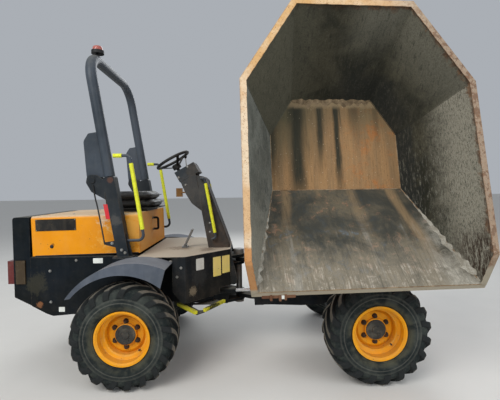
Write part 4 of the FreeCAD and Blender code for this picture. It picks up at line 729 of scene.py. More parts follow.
@dataclass(frozen=True)
class Lens:
    """Moulded lamp lens with a fine prism pattern behind a glossy face."""

    name: str
    colour: Rgba
    deep: Rgba
    pitch: float = 520.0
    low_colour: Rgba = paint_chip(84, 18, 18)
    low_level: float = 0.0

    def make(self) -> bpy.types.Material:
        """Build the material; below low_level the lenses are old and grimed, in low_colour."""
        bench = Bench(self.name)
        x, y, z = bench.parts(bench.place)
        prisms = ((z * self.pitch).sine() * ((x + y) * self.pitch).sine()) * 0.5 + 0.5
        cloud = bench.noise(bench.place, 30.0, 4, 0.6)
        base = bench.mix(prisms, self.colour, self.deep)
        base = bench.mix(z.rise(self.low_level + 0.02, self.low_level - 0.02) * 0.9, base, self.low_colour)
        base = bench.mix((cloud.rise(0.5, 0.72) * 0.2).clipped(), base, paint_chip(112, 100, 84))
        return bench.shade(base, (0.2 + cloud * 0.3).clipped(), bench.bump(prisms, 0.0006, 0.5),
                           Coat_Weight=0.3, IOR=1.49, Specular_IOR_Level=0.3)


@dataclass(frozen=True)
class Soil:
    """Dried soil caked into corners: pale crust with darker crumbs."""

    name: str
    pale: Rgba = paint_chip(158, 146, 124)
    deep: Rgba = paint_chip(98, 84, 64)

    def make(self) -> bpy.types.Material:
        """Build the material."""
        bench = Bench(self.name)
        cloud = bench.noise(bench.place, 18.0, 6, 0.7)
        crumbs = bench.cells(bench.place, 150.0)
        base = bench.mix(cloud.rise(0.35, 0.7), self.deep, self.pale)
        base = bench.mix((crumbs.rise(0.55, 0.2) * 0.4).clipped(), base, paint_chip(80, 68, 52))
        return bench.shade(base, (0.86 + cloud * 0.12).clipped(), bench.bump(cloud + crumbs * 0.4, 0.003, 0.7))


class Shelf:
    """Every finish of the machine, each made once."""

    def __init__(self, to_skip: Matrix) -> None:
        """Mix the finishes.

        Args:
            to_skip: the move from the row frame to the level skip's own frame.
        """
        orange, orange_faded = paint_chip(226, 146, 4), paint_chip(214, 134, 6)
        black, black_faded = paint_chip(8, 15, 18), paint_chip(16, 24, 32)
        sandy = paint_chip(196, 180, 154)
        self.orange = Paint("orange_body_paint", orange, orange_faded, dust=sandy, dust_up=0.95, dust_side=0.05,
                            mud_share=0.0, chips=0.55, edge_share=0.45, edge=paint_chip(196, 152, 84),
                            smudges=(Smudge(tuple(at(-1592, -496, 1092)), 0.018, paint_chip(96, 60, 24), 0.7),
                                     Smudge(tuple(at(-1000, -496, 1170)), 0.05, paint_chip(150, 92, 20), 0.5),
                                     # partly dust, partly painted light: a pale patch that lifts the shaded front face
                                     # of the bonnet
                                     Smudge(tuple(at(-857, -300, 1190)), 0.40, paint_chip(222, 178, 96), 0.5),
                                     Smudge(tuple(at(-1120, -420, 1339)), 0.12, paint_chip(196, 190, 178), 0.6))).make()
        self.rim = Paint("orange_rim_paint", paint_chip(240, 164, 4), paint_chip(226, 148, 6),
                         dust=paint_chip(160, 128, 84), dust_up=0.3, dust_side=0.18, mud_share=0.08, chips=0.7,
                         edge_share=0.55, edge=paint_chip(206, 172, 110), roughness=0.4).make()
        self.black = Paint("black_chassis_paint", black, black_faded, dust=paint_chip(108, 108, 102), dust_up=0.8,
                           dust_side=0.035, mud_share=0.08, chips=0.3, edge_share=0.4, roughness=0.48, gloss=0.10,
                           smudges=(Smudge(tuple(at(-1716, -500, 574)), 0.030, paint_chip(140, 94, 62), 0.7),
                                    Smudge(tuple(at(-1740, -500, 760)), 0.10, paint_chip(64, 62, 50), 0.5))).make()
        self.deck = Paint("trodden_deck_paint", black, black_faded, dust=paint_chip(178, 167, 150), dust_up=1.3,
                          dust_side=0.05, mud_share=0.25, chips=0.35, edge_share=0.75,
                          edge=paint_chip(158, 148, 132), relief=0.0012,
                          smudges=(Smudge(tuple(at(-392, -566, 690)), 0.05, paint_chip(146, 134, 112), 0.75),
                                   Smudge(tuple(at(-330, -510, 800)), 0.09, paint_chip(60, 62, 62), 0.5),
                                   Smudge(tuple(at(-560, -150, 992)), 0.13, paint_chip(112, 96, 78), 0.6),
                                   Smudge(tuple(at(-300, -250, 992)), 0.10, paint_chip(104, 88, 72), 0.55))).make()
        self.guard = Paint("mudguard_plastic", paint_chip(66, 73, 83), paint_chip(84, 91, 102),
                           dust=paint_chip(128, 131, 136), dust_up=0.7, dust_side=0.14, mud_share=0.1,
                           mud_high=1.1, chips=0.1, edge_share=0.25, roughness=0.58, relief=0.001).make()
        self.roll = Paint("roll_bar_paint", paint_chip(44, 52, 60), paint_chip(66, 74, 84),
                          dust=paint_chip(120, 118, 110), dust_up=0.4, dust_side=0.08, mud_share=0.0,
                          chips=0.25, edge_share=0.35, roughness=0.38).make()
        self.post = Paint("roll_post_paint", paint_chip(20, 26, 31), paint_chip(32, 39, 45),
                          dust=paint_chip(120, 118, 110), dust_up=0.4, dust_side=0.08, mud_share=0.05,
                          chips=0.4, chip=paint_chip(104, 66, 46), edge_share=0.45,
                          smudges=(Smudge(tuple(at(-1046, -600, 1640)), 0.026, paint_chip(104, 68, 52), 0.45),
                                   Smudge(tuple(at(-1010, -600, 1300)), 0.05, paint_chip(92, 90, 86), 0.4))).make()
        self.console = Paint("console_paint", paint_chip(32, 36, 39), paint_chip(50, 53, 54),
                             dust=paint_chip(128, 120, 110), dust_up=0.5, dust_side=0.22,
                             mud=paint_chip(92, 74, 60), mud_low=0.98, mud_high=1.45, mud_share=0.4,
                             chips=0.2, edge_share=0.5, roughness=0.55,
                             smudges=(Smudge(tuple(at(-560, -150, 1760)), 0.14, paint_chip(42, 51, 58), 0.8),
                                      Smudge(tuple(at(-420, -155, 1560)), 0.20, paint_chip(92, 93, 92), 0.22))).make()
        self.plastic = Paint("black_moulding", paint_chip(24, 26, 28), paint_chip(40, 42, 44),
                             dust=paint_chip(112, 108, 100), dust_up=0.35, dust_side=0.12, mud_share=0.0,
                             chips=0.0, edge_share=0.15, roughness=0.5, relief=0.0004).make()
        self.blank_black = Paint("blank_black_plate", paint_chip(20, 21, 22), paint_chip(34, 35, 36),
                                 dust=paint_chip(140, 128, 108), dust_up=0.3, dust_side=0.14, mud_share=0.0,
                                 chips=0.3, chip=paint_chip(150, 120, 70), edge_share=0.4,
                                 edge=paint_chip(200, 150, 60), roughness=0.3, relief=0.0002).make()
        self.blank_white = Paint("blank_white_label", paint_chip(240, 244, 238), paint_chip(214, 218, 212),
                                 dust=paint_chip(150, 146, 136), dust_up=0.3, dust_side=0.25, mud_share=0.06,
                                 mud_high=1.2, chips=0.3, edge_share=0.3, roughness=0.4, relief=0.0002).make()
        self.blank_yellow = Paint("blank_yellow_label", paint_chip(255, 236, 124), paint_chip(250, 230, 156),
                                  dust=paint_chip(160, 148, 120), dust_up=0.3, dust_side=0.12, mud_share=0.05,
                                  mud_high=1.2, chips=0.5, edge_share=0.3, roughness=0.4, relief=0.0002).make()
        self.step_yellow = Paint("yellow_step_paint", paint_chip(226, 222, 40), paint_chip(204, 196, 46),
                                 dust=paint_chip(140, 130, 92), dust_up=0.4, dust_side=0.2, mud_share=0.35,
                                 mud_high=0.8, chips=0.9, edge_share=0.7, edge=paint_chip(96, 88, 60),
                                 smudges=(Smudge(tuple(at(-226, -556, 550)), 0.10, paint_chip(30, 33, 30), 0.95),)).make()
        self.grey_steel = Metal("grey_steel", paint_chip(128, 130, 130), paint_chip(96, 82, 66), 0.7).make()
        self.bolt = Metal("zinc_bolt", paint_chip(150, 152, 150), paint_chip(104, 96, 84), 0.8, 0.45, 0.7).make()
        self.nut = Metal("dark_wheel_nut", paint_chip(52, 46, 42), paint_chip(84, 58, 42), 0.9, 0.55, 0.5).make()
        self.hub = Metal("grimed_hub", paint_chip(32, 36, 37), paint_chip(92, 88, 78), 1.0, 0.75, 0.1, 0.012).make()
        self.chrome = Metal("ram_chrome", paint_chip(214, 216, 218), paint_chip(120, 112, 96), 0.25, 0.12, 1.0,
                            0.0002).make()
        self.cast = Metal("engine_casting", paint_chip(72, 74, 74), paint_chip(58, 50, 42), 0.8, 0.6, 0.35,
                          0.002).make()
        self.scale = Metal("rusted_steel", paint_chip(112, 78, 54), paint_chip(84, 52, 34), 0.9, 0.72, 0.15,
                           0.0014).make()
        self.rubber = Rubber("tyre_rubber").make()
        self.vinyl = Vinyl("seat_vinyl").make()
        self.sleeve = Sleeve("yellow_rail_sleeve").make()
        self.stop_red = Lens("stop_lamp_red", paint_chip(222, 52, 62), paint_chip(170, 34, 40), 700.0,
                             paint_chip(66, 26, 24), 1.2).make()
        self.beacon_red = Lens("faded_beacon_red", paint_chip(178, 104, 94), paint_chip(138, 68, 60), 300.0).make()
        self.amber = Lens("turn_lamp_amber", paint_chip(166, 118, 56), paint_chip(120, 84, 40), 520.0,
                          paint_chip(26, 24, 12), 1.2).make()
        self.soil = Soil("dried_soil", paint_chip(178, 174, 162), paint_chip(136, 130, 116)).make()
        self.crust = Soil("tan_crust", paint_chip(146, 126, 98), paint_chip(92, 76, 54)).make()
        self.weld = Soil("dusty_weld", paint_chip(160, 142, 116), paint_chip(116, 88, 58)).make()
        self.skip = SkipSteel("worn_skip_steel", to_skip, 0.899, 0.351).make()
        self.band = BandPaint("skip_band_paint", to_skip).make()


# Surface tools


@dataclass
class Shell:
    """Points and faces of one or more closed surfaces, with a mark per point that a finish may read."""

    points: Array
    quads: Array
    threes: Array
    mark: Array

    def __add__(self, other: "Shell") -> "Shell":
        """Both surfaces as one."""
        shift = len(self.points)
        return Shell(np.vstack((self.points, other.points)), np.vstack((self.quads, other.quads + shift)),
                     np.vstack((self.threes, other.threes + shift)), np.concatenate((self.mark, other.mark)))

    def moved(self, matrix: Array) -> "Shell":
        """The surface taken through one 4x4 matrix."""
        turned = self.points @ matrix[:3, :3].T + matrix[:3, 3]
        return Shell(turned, self.quads, self.threes, self.mark)

    def copied(self, matrices: Array) -> "Shell":
        """One copy of the surface for each matrix.

        Args:
            matrices: an array of 4x4 matrices.

        Returns:
            All the copies as one surface; copy i is R_i p + t_i.
        """
        turned = np.einsum("kij,nj->kni", matrices[:, :3, :3], self.points) + matrices[:, None, :3, 3]
        steps = (np.arange(len(matrices)) * len(self.points))[:, None, None]
        return Shell(turned.reshape(-1, 3), (self.quads[None] + steps).reshape(-1, 4),
                     (self.threes[None] + steps).reshape(-1, 3), np.tile(self.mark, len(matrices)))

    def piece(self, name: str, finish: bpy.types.Material, body: str, slot: str | None = None,
              smooth: float = 40.0) -> bpy.types.Object:
        """Make the surface a piece that rides on a body.

        Args:
            name: the piece's name.
            finish: its material.
            body: the CAD body it rides on.
            slot: not used.
            smooth: edges sharper than this many degrees stay hard.

        Returns:
            The new object, at the origin, with its faces turned outwards.
        """
        mesh = bpy.data.meshes.new(name)
        mesh.from_pydata(self.points.tolist(), [], self.quads.tolist() + self.threes.tolist())
        attribute = mesh.attributes.new("bar_height", "FLOAT", "POINT")
        attribute.data.foreach_set("value", self.mark.astype(np.float32))
        solid = bmesh.new()
        solid.from_mesh(mesh)
        bmesh.ops.recalc_face_normals(solid, faces=solid.faces)
        solid.to_mesh(mesh)
        solid.free()
        mesh.shade_smooth()
        mesh.set_sharp_from_angle(angle=math.radians(smooth))
        made = bpy.data.objects.new(name, mesh)
        bpy.context.scene.collection.objects.link(made)
        made.data.materials.append(finish)
        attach(made, body)
        log.info("%s: %d faces on %s", name, len(mesh.polygons), body)
        return made


def surface(points: Array, loop_rows: bool = False, capped: bool = False, mark: Array | None = None) -> Shell:
    """Join a grid of points into a surface whose columns always close on themselves.

    Args:
        points: (rows, columns, 3); a column runs round the section.
        loop_rows: join the last row to the first, as on a ring.
        capped: close both end rows with a fan round their middle.
        mark: (rows, columns) values for the finish, 0 if left out.

    Returns:
        The surface. Face (i, j) joins row i, i+1 and column j, j+1, counted round the loop.
    """
    rows, columns = points.shape[:2]
    index = np.arange(rows * columns).reshape(rows, columns)
    after = np.roll(index, -1, axis=1)
    low = index if loop_rows else index[:-1]
    low_after = after if loop_rows else after[:-1]
    high = np.roll(index, -1, axis=0) if loop_rows else index[1:]
    high_after = np.roll(after, -1, axis=0) if loop_rows else after[1:]
    quads = np.stack((low, low_after, high_after, high), axis=-1).reshape(-1, 4)
    flat = points.reshape(-1, 3)
    values = np.zeros(rows * columns) if mark is None else mark.reshape(-1)
    threes = np.zeros((0, 3), int)
    if capped:
        middles = np.stack((points[0].mean(0), points[-1].mean(0)))
        ends = np.repeat([rows * columns, rows * columns + 1], columns)
        rims = np.concatenate((index[0], index[-1]))
        nexts = np.concatenate((after[0], after[-1]))
        threes = np.stack((rims, nexts, ends), axis=-1)
        flat = np.vstack((flat, middles))
        values = np.append(values, (values[0], values[-1]))
    return Shell(flat, quads, threes, values)


def lathe(profile: Sequence[tuple[float, float]], sides: int) -> Shell:
    """Turn a profile about Z.

    Args:
        profile: (radius, height) pairs from bottom to top.
        sides: number of sides; 6 gives a hexagon.

    Returns:
        The capped surface: x = r cos a, y = r sin a, z = height.
    """
    radius, height = np.array(profile, float).T
    angle = np.linspace(0, 2 * np.pi, sides, endpoint=False)
    points = np.stack((np.outer(radius, np.cos(angle)), np.outer(radius, np.sin(angle)),
                       np.repeat(height[:, None], sides, 1)), axis=-1)
    return surface(points, capped=True)


def rounded_plate(width: float, height: float, thick: float, corner: float, edge: float = 0.0008) -> Shell:
    """A flat plate lying on Z = 0 with round corners and a broken edge.

    Args:
        width: size along X.
        height: size along Y.
        thick: size along Z.
        corner: corner radius.
        edge: width of the broken edge.

    Returns:
        The plate. Each ring is a corner circle shifted out to the four corner centres.
    """
    turn = np.linspace(0, 2 * np.pi, 24, endpoint=False) + np.pi / 24
    reach = np.array([width / 2 - corner, height / 2 - corner])
    centre = np.sign(np.stack((np.cos(turn), np.sin(turn)), axis=-1)) * reach
    rings = np.array([[corner, 0.0], [corner, thick - edge], [corner - edge, thick]])
    flat = centre[None] + rings[:, :1, None] * np.stack((np.cos(turn), np.sin(turn)), axis=-1)[None]
    rise = np.repeat(rings[:, 1][:, None, None], len(turn), 1)
    return surface(np.concatenate((flat, rise), axis=-1), capped=True)


def tube(path: Array, radius: float | Array, sides: int = 10, over: Sequence[float] = (0, 0, 1),
         flatten: float = 1.0) -> Shell:
    """Carry a circle along a path.

    Args:
        path: (n, 3) points.
        radius: one radius, or one per point.
        sides: sides of the section.
        over: a direction that the path never runs along, which the section is squared to.
        flatten: height of the section over its width.

    Returns:
        The capped tube: point = path + r (cos a * side + flatten sin a * top).
    """
    ahead = np.gradient(path, axis=0)
    ahead /= np.linalg.norm(ahead, axis=1, keepdims=True)
    aside = np.cross(ahead, np.array(over, float))
    aside /= np.linalg.norm(aside, axis=1, keepdims=True)
    top = np.cross(aside, ahead)
    angle = np.linspace(0, 2 * np.pi, sides, endpoint=False)
    reach = np.broadcast_to(np.asarray(radius, float), (len(path),))[:, None, None]
    ring = aside[:, None] * np.cos(angle)[None, :, None] + flatten * top[:, None] * np.sin(angle)[None, :, None]
    return surface(path[:, None] + reach * ring, capped=True)


def standing(origin: Array, outward: Sequence[float], upward: Sequence[float] = (0, 0, 1)) -> Array:
    """A matrix that stands a piece on a surface.

    Args:
        origin: the foot's place.
        outward: where the piece's Z points.
        upward: where its Y points, as near as may be.

    Returns:
        The 4x4 matrix.
    """
    z_axis = np.array(outward, float)
    z_axis /= np.linalg.norm(z_axis)
    x_axis = np.cross(np.array(upward, float), z_axis)
    x_axis /= np.linalg.norm(x_axis)
    matrix = np.eye(4)
    matrix[:3, 0], matrix[:3, 1], matrix[:3, 2] = x_axis, np.cross(z_axis, x_axis), z_axis
    matrix[:3, 3] = origin
    return matrix


def hex_head(across: float, height: float) -> Shell:
    """A hexagon bolt head on its washer, standing on Z = 0."""
    radius = across / math.sqrt(3)
    washer = lathe([(radius * 1.22, -0.001), (radius * 1.22, height * 0.22), (radius * 1.16, height * 0.26)], 20)
    head = lathe([(radius, 0), (radius, height * 0.86), (radius * 0.84, height)], 6)
    return washer + head


def round_head(radius: float, height: float) -> Shell:
    """A dome head standing on Z = 0: radius r cos t, height h sin t."""
    turn = np.linspace(0, np.pi / 2 * 0.94, 6)
    rise = np.stack((radius * np.cos(turn), height * np.sin(turn)), axis=-1)
    return lathe([(radius, -0.001)] + [tuple(row) for row in rise], 18)


def rough_line(start: Array, end: Array, count: int, jitter: float, seed: int) -> Array:
    """Points along a straight line, shaken a little.

    Args:
        start: first end.
        end: last end.
        count: number of points.
        jitter: largest shake.
        seed: of the random draw.

    Returns:
        (count, 3) points.
    """
    share = np.linspace(0, 1, count)[:, None]
    shake = np.random.default_rng(seed).uniform(-jitter, jitter, (count, 3))
    return start + (end - start) * share + shake


def dress(node: str, finish: bpy.types.Material) -> None:
    """Give a CAD node its finish."""
    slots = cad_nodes()[node].data.materials
    slots.clear()
    slots.append(finish)


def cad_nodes() -> dict[str, bpy.types.Object]:
    """The CAD nodes by name."""
    return FRAME["nodes"]


def set_aside(mesh_object: bpy.types.Object, *nodes: str) -> None:
    """Let a piece stand for CAD nodes."""
    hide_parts(*nodes)


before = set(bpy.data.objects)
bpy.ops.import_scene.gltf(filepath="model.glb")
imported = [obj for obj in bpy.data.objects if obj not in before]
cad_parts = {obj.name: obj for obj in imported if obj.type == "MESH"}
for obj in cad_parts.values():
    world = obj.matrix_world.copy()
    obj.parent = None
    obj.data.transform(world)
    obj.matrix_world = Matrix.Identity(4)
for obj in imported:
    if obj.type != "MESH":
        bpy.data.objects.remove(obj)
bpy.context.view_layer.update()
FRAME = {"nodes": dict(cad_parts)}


# Sub-assemblies


@dataclass(frozen=True)
class Wheel:
    """One wheel: treaded tyre, nuts, hub cover and valve over the CAD rim."""

    label: str
    centre: Array
    side: Side
    radius: float = 0.415
    half_width: float = 0.146
    bead_radius: float = 0.1985
    disc: float = 0.0035
    stud_circle: float = 0.1025
    hub_face: float = 0.0295
    bars: int = 19
    sweep: float = 0.45

    def build(self, shelf: Shelf) -> None:
        """Make and dress the wheel's pieces."""
        body = f"wheel_{self.label}"
        stand = self.stand()
        tyre = (self.carcass() + self.tread(-1) + self.tread(1)).moved(self.level())
        piece = tyre.piece(f"treaded_tyre_{self.label}", shelf.rubber, body, "tyre_rubber", 32)
        set_aside(piece, f"tyre_{self.label}")
        dress(f"rim_{self.label}", shelf.rim)
        self.nuts().moved(stand).piece(f"wheel_nuts_{self.label}", shelf.nut, body, "grey_steel", 25)
        self.cover().moved(stand).piece(f"hub_cover_{self.label}", shelf.hub, body, "grey_steel", 30)
        self.valve().moved(stand).piece(f"tyre_valve_{self.label}", shelf.plastic, body, "black_plastic", 40)

    def level(self) -> Array:
        """The matrix that sets the tyre's middle on the wheel's centre."""
        matrix = np.eye(4)
        matrix[:3, 3] = self.centre
        return matrix

    def stand(self) -> Array:
        """The matrix that stands a piece on the wheel's middle plane with Z pointing outboard."""
        return standing(self.centre, (0, self.side.value, 0))

    def carcass(self) -> Shell:
        """The tyre without its bars: a closed profile of (Y, radius) turned about Y."""
        half = np.array([(0.1095, 0.1985), (0.1095, 0.2175), (0.118, 0.222), (0.1265, 0.2255), (0.1275, 0.2315),
                         (0.1325, 0.2345), (0.1385, 0.247), (0.1425, 0.262), (0.1445, 0.2785), (0.1425, 0.2835),
                         (0.1432, 0.300), (0.1412, 0.3055), (0.1410, 0.3165), (0.1385, 0.3205), (0.1378, 0.336),
                         (0.1330, 0.353), (0.1220, 0.3685), (0.1040, 0.3795), (0.0740, 0.3855), (0.0370, 0.3880)])
        profile = np.vstack((half, [[0.0, 0.3885]], half[::-1] * (-1, 1)))
        angle = np.linspace(0, 2 * np.pi, 120, endpoint=False)
        points = np.stack((np.outer(profile[:, 1], np.sin(angle)),
                           np.repeat(profile[:, :1], len(angle), 1),
                           np.outer(profile[:, 1], np.cos(angle))), axis=-1)
        mark = np.repeat(((0.197 - profile[:, 1]) / 0.1915)[:, None], len(angle), 1)
        return surface(points, loop_rows=True, mark=mark)

    def tread(self, hand: int) -> Shell:
        """The bars of one half of the tread.

        Args:
            hand: -1 or 1, the side of the tyre the bars start from.

        Returns:
            The bars. One bar is a section of ten points carried from the sidewall (t = 0) over the shoulder to
            past the middle (t = 1); its angle is start + sweep * (0.25 t + 0.75 t^2), so it leaves the shoulder
            square and then lies back along the tread.
        """
        share = np.linspace(0, 1, 15)
        knots = np.array([0.0, 0.12, 0.24, 0.36, 0.55, 0.8, 1.0])
        crown_y = np.interp(share, knots, [0.1432, 0.1452, 0.1425, 0.1290, 0.0900, 0.0380, -0.0060])
        crown_r = np.interp(share, knots, [0.3260, 0.3480, 0.3760, 0.3990, 0.4090, 0.4140, 0.4148])
        foot_y = np.interp(share, knots, [0.1330, 0.1330, 0.1250, 0.1100, 0.0860, 0.0380, -0.0060])
        foot_r = np.interp(share, knots, [0.3200, 0.3400, 0.3560, 0.3680, 0.3780, 0.3820, 0.3820])
        lean = self.sweep * (0.25 * share + 0.75 * share ** 2)
        wide = np.interp(share, knots, [0.0225, 0.0235, 0.0235, 0.0225, 0.0195, 0.0175, 0.0160])
        across = np.array([-1.22, -1.08, -1.0, -0.92, -0.4, 0.4, 0.92, 1.0, 1.08, 1.22])
        tall = np.array([0.0, 0.55, 0.93, 1.0, 1.0, 1.0, 1.0, 0.93, 0.55, 0.0])
        y = foot_y[:, None] + (crown_y - foot_y)[:, None] * tall
        r = foot_r[:, None] + (crown_r - foot_r)[:, None] * tall
        pitch = 2 * np.pi / self.bars
        start = np.arange(self.bars) * pitch + (pitch / 2 if hand > 0 else 0.0)
        angle = start[:, None, None] + lean[None, :, None] + (wide[:, None] * across / r)[None]
        points = np.stack((r * np.sin(angle), np.broadcast_to(hand * y, angle.shape), r * np.cos(angle)), axis=-1)
        crown = np.interp(share, [0.0, 0.18, 0.34, 1.0], [0.25, 0.3, 0.85, 1.0])
        mark = 0.1 + 0.9 * tall[None] ** 3 * crown[:, None]
        bars = [surface(points[i], capped=True, mark=mark) for i in range(self.bars)]
        whole = bars[0]
        for bar in bars[1:]:
            whole = whole + bar
        return whole

    def nuts(self) -> Shell:
        """Six hexagon nuts with stud ends on the stud circle, one at the top."""
        nut = lathe([(0.0215, 0.0), (0.0215, 0.003)], 20) + lathe([(0.0178, 0.002), (0.0178, 0.018),
                                                                   (0.0150, 0.021)], 6)
        stud = lathe([(0.0088, 0.018), (0.0088, 0.030), (0.0070, 0.032)], 14)
        angle = np.radians(60 * np.arange(6) + 30)
        seats = np.repeat(np.eye(4)[None], 6, 0)
        seats[:, 0, 3] = self.stud_circle * np.cos(angle)
        seats[:, 1, 3] = self.stud_circle * np.sin(angle)
        seats[:, 2, 3] = self.disc
        return (nut + stud).copied(seats)

    def cover(self) -> Shell:
        """The hub's end cover: stepped disc, ring of small bolts and a filler plug."""
        face = lathe([(0.080, self.hub_face - 0.002), (0.080, self.hub_face + 0.003), (0.074, self.hub_face + 0.007),
                      (0.058, self.hub_face + 0.007), (0.054, self.hub_face + 0.004), (0.032, self.hub_face + 0.004),
                      (0.028, self.hub_face + 0.012), (0.012, self.hub_face + 0.014)], 48)
        angle = np.radians(45 * np.arange(8) + 12)
        seats = np.repeat(np.eye(4)[None], 8, 0)
        seats[:, 0, 3] = 0.0665 * np.cos(angle)
        seats[:, 1, 3] = 0.0665 * np.sin(angle)
        seats[:, 2, 3] = self.hub_face + 0.006
        plug = hex_head(0.016, 0.008).moved(standing(np.array([0.018, -0.038, self.hub_face + 0.003]), (0, 0, 1),
                                                     (0, 1, 0)))
        return face + hex_head(0.011, 0.006).copied(seats) + plug

    def valve(self) -> Shell:
        """The tyre valve leaning out of the rim's well."""
        foot = np.array([0.118, -0.118, 0.018])
        path = foot + np.linspace(0, 1, 8)[:, None] * np.array([-0.006, 0.006, 0.046])
        radius = np.array([0.0085, 0.008, 0.006, 0.0055, 0.0055, 0.0068, 0.0068, 0.0055])
        return tube(path, radius, 12, (0, 1, 0))


@dataclass(frozen=True)
class Skip:
    """The tub's welds, dried soil and lip bracket, made level and then set to the tipped rest pose."""

    to_row: Matrix
    sheet: float = 0.006
    floor_half: float = 0.575
    rim_half: float = 0.844
    floor_z: float = 0.899
    rim_z: float = 1.583
    cap_reach: float = 0.020
    body: str = "skip_body"

    def planes(self) -> dict[str, tuple[Array, Array]]:
        """The tub's inner faces, each as its inward normal and a point on it."""
        lean = np.array([0.0, self.rim_half - self.floor_half, self.rim_z - self.floor_z])
        corner_a = np.array([-0.933, 0.448, self.rim_z])
        corner_b = np.array([-0.311, self.rim_half, self.rim_z])
        corner_c = np.array([-0.148, self.floor_half, self.floor_z])
        faces = {"floor": (np.array([0.0, 0.0, 1.0]), np.array([0.0, 0.0, self.floor_z])),
                 "rear": (np.array([0.684, 0.0, 0.462]), np.array([-0.471, 0.0, self.floor_z])),
                 "front": (np.array([-0.573, 0.0, 0.799]), np.array([0.351, 0.0, self.floor_z])),
                 "side": (np.array([0.0, -lean[2], lean[1]]), corner_c),
                 "corner": (-np.cross(corner_b - corner_a, corner_c - corner_a), corner_a)}
        middle = np.array([0.0, 0.0, 1.3])
        inner = {}
        for name, (normal, point) in faces.items():
            unit = normal / np.linalg.norm(normal)
            unit = unit if unit @ (middle - point) > 0 else -unit
            inner[name] = (unit, point + unit * self.sheet)
        return inner

    def meet(self, *names: str) -> Array:
        """The point where three inner faces meet: solve n_i . p = n_i . p_i."""
        chosen = [self.planes()[name] for name in names]
        return np.linalg.solve(np.stack([n for n, p in chosen]), np.array([n @ p for n, p in chosen]))

    def seams(self) -> list[tuple[Array, Array]]:
        """The inner weld lines of the left half, and those across the middle."""
        planes = self.planes()
        floor_front = self.meet("floor", "front", "side")
        floor_side = self.meet("floor", "side", "corner")
        floor_rear = self.meet("floor", "rear", "corner")

        def climb(low: Array, first: str, second: str, top: float) -> Array:
            """The end of the line where two faces meet, at a height or at the lip."""
            run = np.cross(planes[first][0], planes[second][0])
            return low + run * (top - low[2]) / run[2]

        lip = climb(floor_front, "front", "side", 1.462)
        side_top = climb(floor_side, "side", "corner", 1.572)
        rear_top = climb(floor_rear, "rear", "corner", 1.572)
        half = [(floor_front, lip), (floor_front, floor_side), (floor_side, side_top), (floor_side, floor_rear),
                (floor_rear, rear_top)]
        flip = np.array([1.0, -1.0, 1.0])
        both = half + [(a * flip, b * flip) for a, b in half]
        return both + [(floor_front * flip, floor_front), (floor_rear * flip, floor_rear)]

    def build(self, shelf: Shelf) -> None:
        """Make and dress the skip's pieces."""
        dress("skip_tub", shelf.skip)
        dress("skip_rim", shelf.band)
        place = np.array(self.to_row)
        seams = self.seams()
        pale = [seams[i] for i in (0, 1, 5, 6, 10)]
        grimed = [seams[i] for i in (2, 3, 4, 7, 8, 9, 11)]
        self.welds(pale).moved(place).piece("skip_front_welds", shelf.weld, self.body, "worn_skip", 60)
        self.welds(grimed).moved(place).piece("skip_corner_welds", shelf.skip, self.body, "worn_skip", 60)
        self.soil().moved(place).piece("skip_dried_soil", shelf.soil, self.body, "worn_skip", 70)
        self.ledge().moved(place).piece("skip_rear_crust", shelf.crust, self.body, "worn_skip", 70)
        self.mouth_cap().moved(place).piece("skip_mouth_cap", shelf.band, self.body, "worn_skip", 30)
        self.bracket().moved(place).piece("lip_bracket", shelf.scale, self.body, "grey_steel", 30)
        self.bracket_tag().moved(place).piece("lip_bracket_tag", shelf.blank_white, self.body, "black_plastic", 30)

    def welds(self, lines: list[tuple[Array, Array]]) -> Shell:
        """Rippled beads along some seams: radius = 4.5 mm plus a 0.8 mm ripple every 9 mm.

        Args:
            lines: the seams' ends.

        Returns:
            The beads.
        """
        whole = None
        for seed, (start, end) in enumerate(lines):
            count = max(12, int(np.linalg.norm(end - start) / 0.0045))
            path = rough_line(start, end, count, 0.0008, 40 + seed)
            ripple = 0.0045 + 0.0008 * np.cos(np.arange(count) * np.pi)
            ripple[0] = ripple[-1] = 0.003
            bead = tube(path, ripple, 7, (0.31, 0.17, 0.93))
            whole = bead if whole is None else whole + bead
        return whole

    def soil(self) -> Shell:
        """Banks of dried soil widening down both front seams."""
        seams = self.seams()
        return (self.bank(seams[0], ("front", "side"), (0.004, 0.062), (0.003, 0.034), 73)
                + self.bank(seams[5], ("front", "side"), (0.003, 0.036), (0.002, 0.022), 74, True))

    def ledge(self) -> Shell:
        """Caked spoil along the floor's rear edge."""
        return self.bank(self.seams()[-1], ("floor", "rear"), (0.062, 0.056), (0.022, 0.024), 71)

    def mouth_cap(self) -> Shell:
        """The flat bar that caps the mouth's edge, from one end of the lip round the back to the other.

        Returns:
            The bar. Its plan is the mouth's outline moved out by 26 mm and in by the cap's reach, mitred at the
            corners: corner + d (n1 + n2) / (1 + n1 . n2). Its height is the rim's, falling past the front bend, and
            its inner edge wavers by 1.2 mm with knocks.
        """
        corners = np.array([(1.150, -0.8003), (0.940, -0.844), (-0.311, -0.844), (-0.933, -0.448), (-0.933, 0.448),
                            (-0.311, 0.844), (0.940, 0.844), (1.150, 0.8003)])
        run = np.diff(corners, axis=0)
        run /= np.linalg.norm(run, axis=1, keepdims=True)
        outward = np.stack((-run[:, 1], run[:, 0]), axis=-1)
        before, after = np.vstack((outward[:1], outward)), np.vstack((outward, outward[-1:]))
        mitre = (before + after) / (1 + (before * after).sum(1, keepdims=True))
        place = np.concatenate([np.linspace(i, i + 1, 60, endpoint=False) for i in range(7)] + [[7.0]])
        spots = np.arange(8)

        def along(values: Array) -> Array:
            """Each column of some corner values, read along the bar."""
            return np.stack([np.interp(place, spots, column) for column in values.T], axis=-1)

